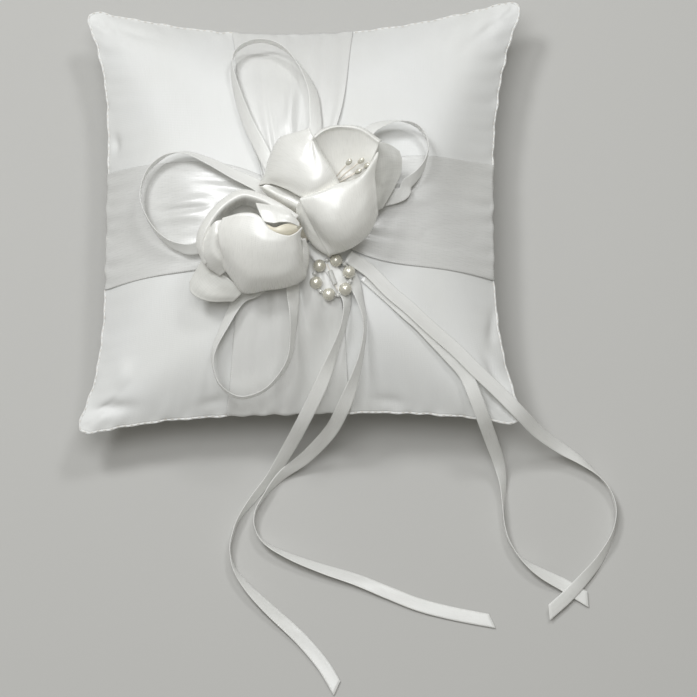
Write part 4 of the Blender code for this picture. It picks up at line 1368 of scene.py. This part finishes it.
def addStamens(pearl, thread):
    for number in range(1, 5):
        name = f"stamen_pearl_{number}"
        points = nodePoints(name)
        axis = longAxis(points)
        half = np.ptp((points - points.mean(0)) @ axis) / 2 * beads["riceLength"]
        wide = np.abs((points - points.mean(0)) - np.outer((points - points.mean(0)) @ axis, axis))
        radius = np.linalg.norm(wide, axis=1).max() * beads["riceWidth"]
        turns = np.linspace(0.02, math.pi - 0.02, 21)
        profile = [(radius * math.sin(a) ** 0.85, -half * math.cos(a)) for a in turns]
        profile += [(0.00004, half * 0.9), (0.00004, -half * 0.9)]
        item = addTurned(name + "_rice", points.mean(0), axis, profile, 28, pearl, "pillow")
        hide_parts(name)
        stem = f"stamen_stem_{number}"
        line = nodePoints(stem)
        way = longAxis(line)
        reach = (line - line.mean(0)) @ way
        start, end = line.mean(0) + way * reach.min(), line.mean(0) + way * reach.max()
        if start[2] > end[2]:
            start, end = end, start
        at = np.linspace(0, 1, 14)[:, None]
        path = start + (end - start) * at + np.array((0, 0, beads["stemBow"])) * np.sin(math.pi * at)
        item = addTube(stem + "_thread", path, beads["stemRadius"] - beads["stemTaper"] * at[:, 0], 10,
                       thread, "pillow")
        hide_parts(stem)


def paintModelPieces(materials):
    # pieces of the model that show as they are, with their own finishes
    for node, (material, slotName) in materials.items():
        item = frame["nodes"][node]
        for index in range(max(1, len(item.material_slots))):
            if not item.material_slots:
                item.data.materials.append(material)
            else:
                item.material_slots[index].link = "OBJECT"
                item.material_slots[index].material = material


pearls = {
    "pearlCoat": ((0.74, 0.72, 0.64), (0.60, 0.57, 0.46), 0.35),
}


def makePearl(name):
    # lacquered bead: warm white body, thin glossy coat, faint mottling and a slightly rubbed skin
    colour, worn, metal = pearls[name]
    material, tree, shader = startMaterial(name)
    tone = addGroup(tree, handlingTone, Colour=(*colour, 1), Worn_Colour=(*worn, 1), Amount=0.5,
                    Patch_Size=0.0022)
    tree.links.new(tone["Colour"], shader.inputs["Base Color"])
    tree.links.new(mapValue(tree, tone["Patches"], 0.3, 0.7, 0.20, 0.30), shader.inputs["Roughness"])
    addBump(tree, shader, tone["Patches"], 0.00002, 0.2)
    setShader(shader, Metallic=metal, Coat_Weight=1.0, Coat_Roughness=0.05, Coat_IOR=1.6, IOR=1.6)
    return material


def makeGlass():
    material, tree, shader = startMaterial("clearGlass")
    tone = addGroup(tree, handlingTone, Colour=(0.95, 0.95, 0.93, 1), Worn_Colour=(0.88, 0.88, 0.84, 1),
                    Amount=0.6, Patch_Size=0.0015)
    tree.links.new(tone["Colour"], shader.inputs["Base Color"])
    tree.links.new(mapValue(tree, tone["Patches"], 0.3, 0.7, 0.05, 0.14), shader.inputs["Roughness"])
    setShader(shader, Transmission_Weight=0.45, IOR=1.5)
    return material


def makeSheer():
    # thin voile: an open weave that lets some of what lies under it show
    material, tree, shader = startMaterial("sheerVoile")
    place = clothAttribute(tree)
    weave = addGroup(tree, satinWeave, Cloth_Place=place, Yarns_Per_Metre=1900, Streak=0.10)
    # the voile's colour is set greyer than the satin petals: painted shade for the shadow it lies in
    tone = addGroup(tree, handlingTone, Colour=(0.74, 0.74, 0.71, 1), Worn_Colour=(0.67, 0.66, 0.61, 1),
                    Amount=0.5)
    lighter = addNode(tree, "ShaderNodeHueSaturation", None, Color=tone["Colour"],
                      Value=math2(tree, "ADD", weave["Streaks"], 1.0))
    tree.links.new(lighter.outputs[0], shader.inputs["Base Color"])
    tree.links.new(mapValue(tree, weave["Height"], 0.2, 0.8, 0.90, 0.98), shader.inputs["Alpha"])
    tree.links.new(mapValue(tree, weave["Height"], 0.3, 0.7, 0.42, 0.55), shader.inputs["Roughness"])
    addBump(tree, shader, weave["Height"], 0.00004, 0.6)
    setShader(shader, Sheen_Weight=0.2, IOR=1.45, Subsurface_Weight=0.2, Subsurface_Scale=0.003,
              Subsurface_Radius=(1.0, 1.0, 1.0))
    return material


def makeThread():
    # two-ply sewing thread: a fine twist that winds round the strand
    material, tree, shader = startMaterial("sewingThread")
    place = addNode(tree, "ShaderNodeTexCoord").outputs["Object"]
    twist = addNode(tree, "ShaderNodeTexWave", {"wave_type": "BANDS", "bands_direction": "DIAGONAL"},
                    Vector=place,
                    Scale=900.0, Distortion=1.5, Detail=2.0).outputs["Fac"]
    tone = addGroup(tree, handlingTone, Colour=(0.86, 0.82, 0.75, 1), Worn_Colour=(0.74, 0.66, 0.56, 1),
                    Amount=0.6, Patch_Size=0.004)
    dim = mixColour(tree, math2(tree, "MULTIPLY", twist, 0.25), tone["Colour"], (0.62, 0.57, 0.49, 1))
    tree.links.new(dim, shader.inputs["Base Color"])
    tree.links.new(mapValue(tree, twist, 0.0, 1.0, 0.48, 0.62), shader.inputs["Roughness"])
    addBump(tree, shader, twist, 0.00005, 0.9)
    setShader(shader, Sheen_Weight=0.25)
    return material


def makeFelt():
    # pressed wool: short fibres in every direction and a matt, slightly pilled face
    material, tree, shader = startMaterial("backingFelt")
    place = addNode(tree, "ShaderNodeTexCoord").outputs["Object"]
    hair = addNode(tree, "ShaderNodeTexNoise", None, Vector=place, Scale=2600.0, Detail=4.0,
                   Distortion=1.2).outputs["Fac"]
    pills = addNode(tree, "ShaderNodeTexVoronoi", None, Vector=place, Scale=620.0).outputs["Distance"]
    tone = addGroup(tree, handlingTone, Colour=(0.80, 0.77, 0.68, 1), Worn_Colour=(0.66, 0.61, 0.50, 1),
                    Amount=0.7, Patch_Size=0.005)
    speckled = mixColour(tree, math2(tree, "MULTIPLY", hair, 0.35), tone["Colour"], (0.60, 0.56, 0.46, 1))
    tree.links.new(speckled, shader.inputs["Base Color"])
    tree.links.new(mapValue(tree, hair, 0.3, 0.7, 0.86, 0.98), shader.inputs["Roughness"])
    addBump(tree, shader, math2(tree, "ADD", hair, math2(tree, "MULTIPLY", pills, 0.5)), 0.00025, 0.9)
    setShader(shader, Sheen_Weight=0.5, Sheen_Roughness=0.6)
    return material


def makeFibre():
    material, tree, shader = startMaterial("fibreFill")
    place = addNode(tree, "ShaderNodeTexCoord").outputs["Object"]
    strands = addNode(tree, "ShaderNodeTexNoise", None, Vector=place, Scale=420.0, Detail=6.0,
                      Distortion=2.5).outputs["Fac"]
    shade = mixColour(tree, strands, (0.93, 0.93, 0.93, 1), (0.80, 0.80, 0.79, 1))
    tree.links.new(shade, shader.inputs["Base Color"])
    tree.links.new(mapValue(tree, strands, 0.3, 0.7, 0.85, 0.97), shader.inputs["Roughness"])
    addBump(tree, shader, strands, 0.0008, 0.9)
    setShader(shader, Sheen_Weight=0.4)
    return material


def makeCord():
    # braided bead wire with a soft plastic skin
    material, tree, shader = startMaterial("beadCord")
    place = addNode(tree, "ShaderNodeTexCoord").outputs["Object"]
    braid = addNode(tree, "ShaderNodeTexWave", {"wave_type": "BANDS", "bands_direction": "DIAGONAL"},
                    Vector=place,
                    Scale=700.0, Distortion=0.6).outputs["Fac"]
    tone = addGroup(tree, handlingTone, Colour=(0.86, 0.86, 0.83, 1), Worn_Colour=(0.70, 0.69, 0.64, 1),
                    Amount=0.5, Patch_Size=0.003)
    tree.links.new(tone["Colour"], shader.inputs["Base Color"])
    tree.links.new(mapValue(tree, braid, 0.0, 1.0, 0.26, 0.40), shader.inputs["Roughness"])
    addBump(tree, shader, braid, 0.00004, 0.7)
    setShader(shader, Coat_Weight=0.3, Coat_Roughness=0.2)
    return material


def addFloor():
    # plain pale table top with a faint uneven tone
    material, tree, shader = startMaterial("paleTable")
    place = addNode(tree, "ShaderNodeTexCoord").outputs["Object"]
    cloud = addNode(tree, "ShaderNodeTexNoise", None, Vector=place, Scale=6.0, Detail=3.0).outputs["Fac"]
    shade = mixColour(tree, math2(tree, "MULTIPLY", cloud, floor["tone"]), (*floor["colour"], 1),
                      (0.5, 0.5, 0.49, 1))
    tree.links.new(shade, shader.inputs["Base Color"])
    setShader(shader, Roughness=0.85)
    half = floor["size"] / 2
    points = [(-half, -half, -0.0005), (half, -half, -0.0005), (half, half, -0.0005),
              (-half, half, -0.0005)]
    finishMesh("tableTop", points, [(0, 1, 2, 3)], material, None, smooth=False)


addCamera()
addLamps()
addFloor()
print("camera, light and table are in place")

satin = {name: makeSatin(name, tick) for name, tick in (
    ("coverSatin", 0.0), ("sashAcrossShadedSatin", 0.00010), ("sashDownLitSatin", 0.00010),
    ("ribbonSatin", 0.00010), ("petalSatin", 0.0), ("centreSatin", 0.0))}
pearl, glass, sheer, thread = makePearl("pearlCoat"), makeGlass(), makeSheer(), makeThread()
felt, fibre, cord = makeFelt(), makeFibre(), makeCord()
print("finishes are made")

front, back = makePanels()
addPillow(front, back, satin["coverSatin"], thread, fibre)
print("pillow is filled and sewn")

sashes = addSashes(front, satin["sashAcrossShadedSatin"], satin["sashDownLitSatin"])
print("sashes are laid")

addRibbons(clothTree(*sashes, bpy.data.objects["coverFront"]), satin["ribbonSatin"])
print("ribbons are laid")

addPetals(satin["petalSatin"], satin["centreSatin"], sheer)
print("flowers are folded")

addBeads(pearl, glass)
addStamens(pearl, thread)
paintModelPieces({
    "open_core": (satin["centreSatin"], "centre_satin"),
    "felt_disc": (felt, "felt"),
    "thread_binding": (thread, "sewing_thread"),
    "ring_hanging_thread": (thread, "sewing_thread"),
    "rod_bead_thread": (thread, "sewing_thread"),
    "bead_wire": (cord, "bead_cord"),
})
print("beads are strung")
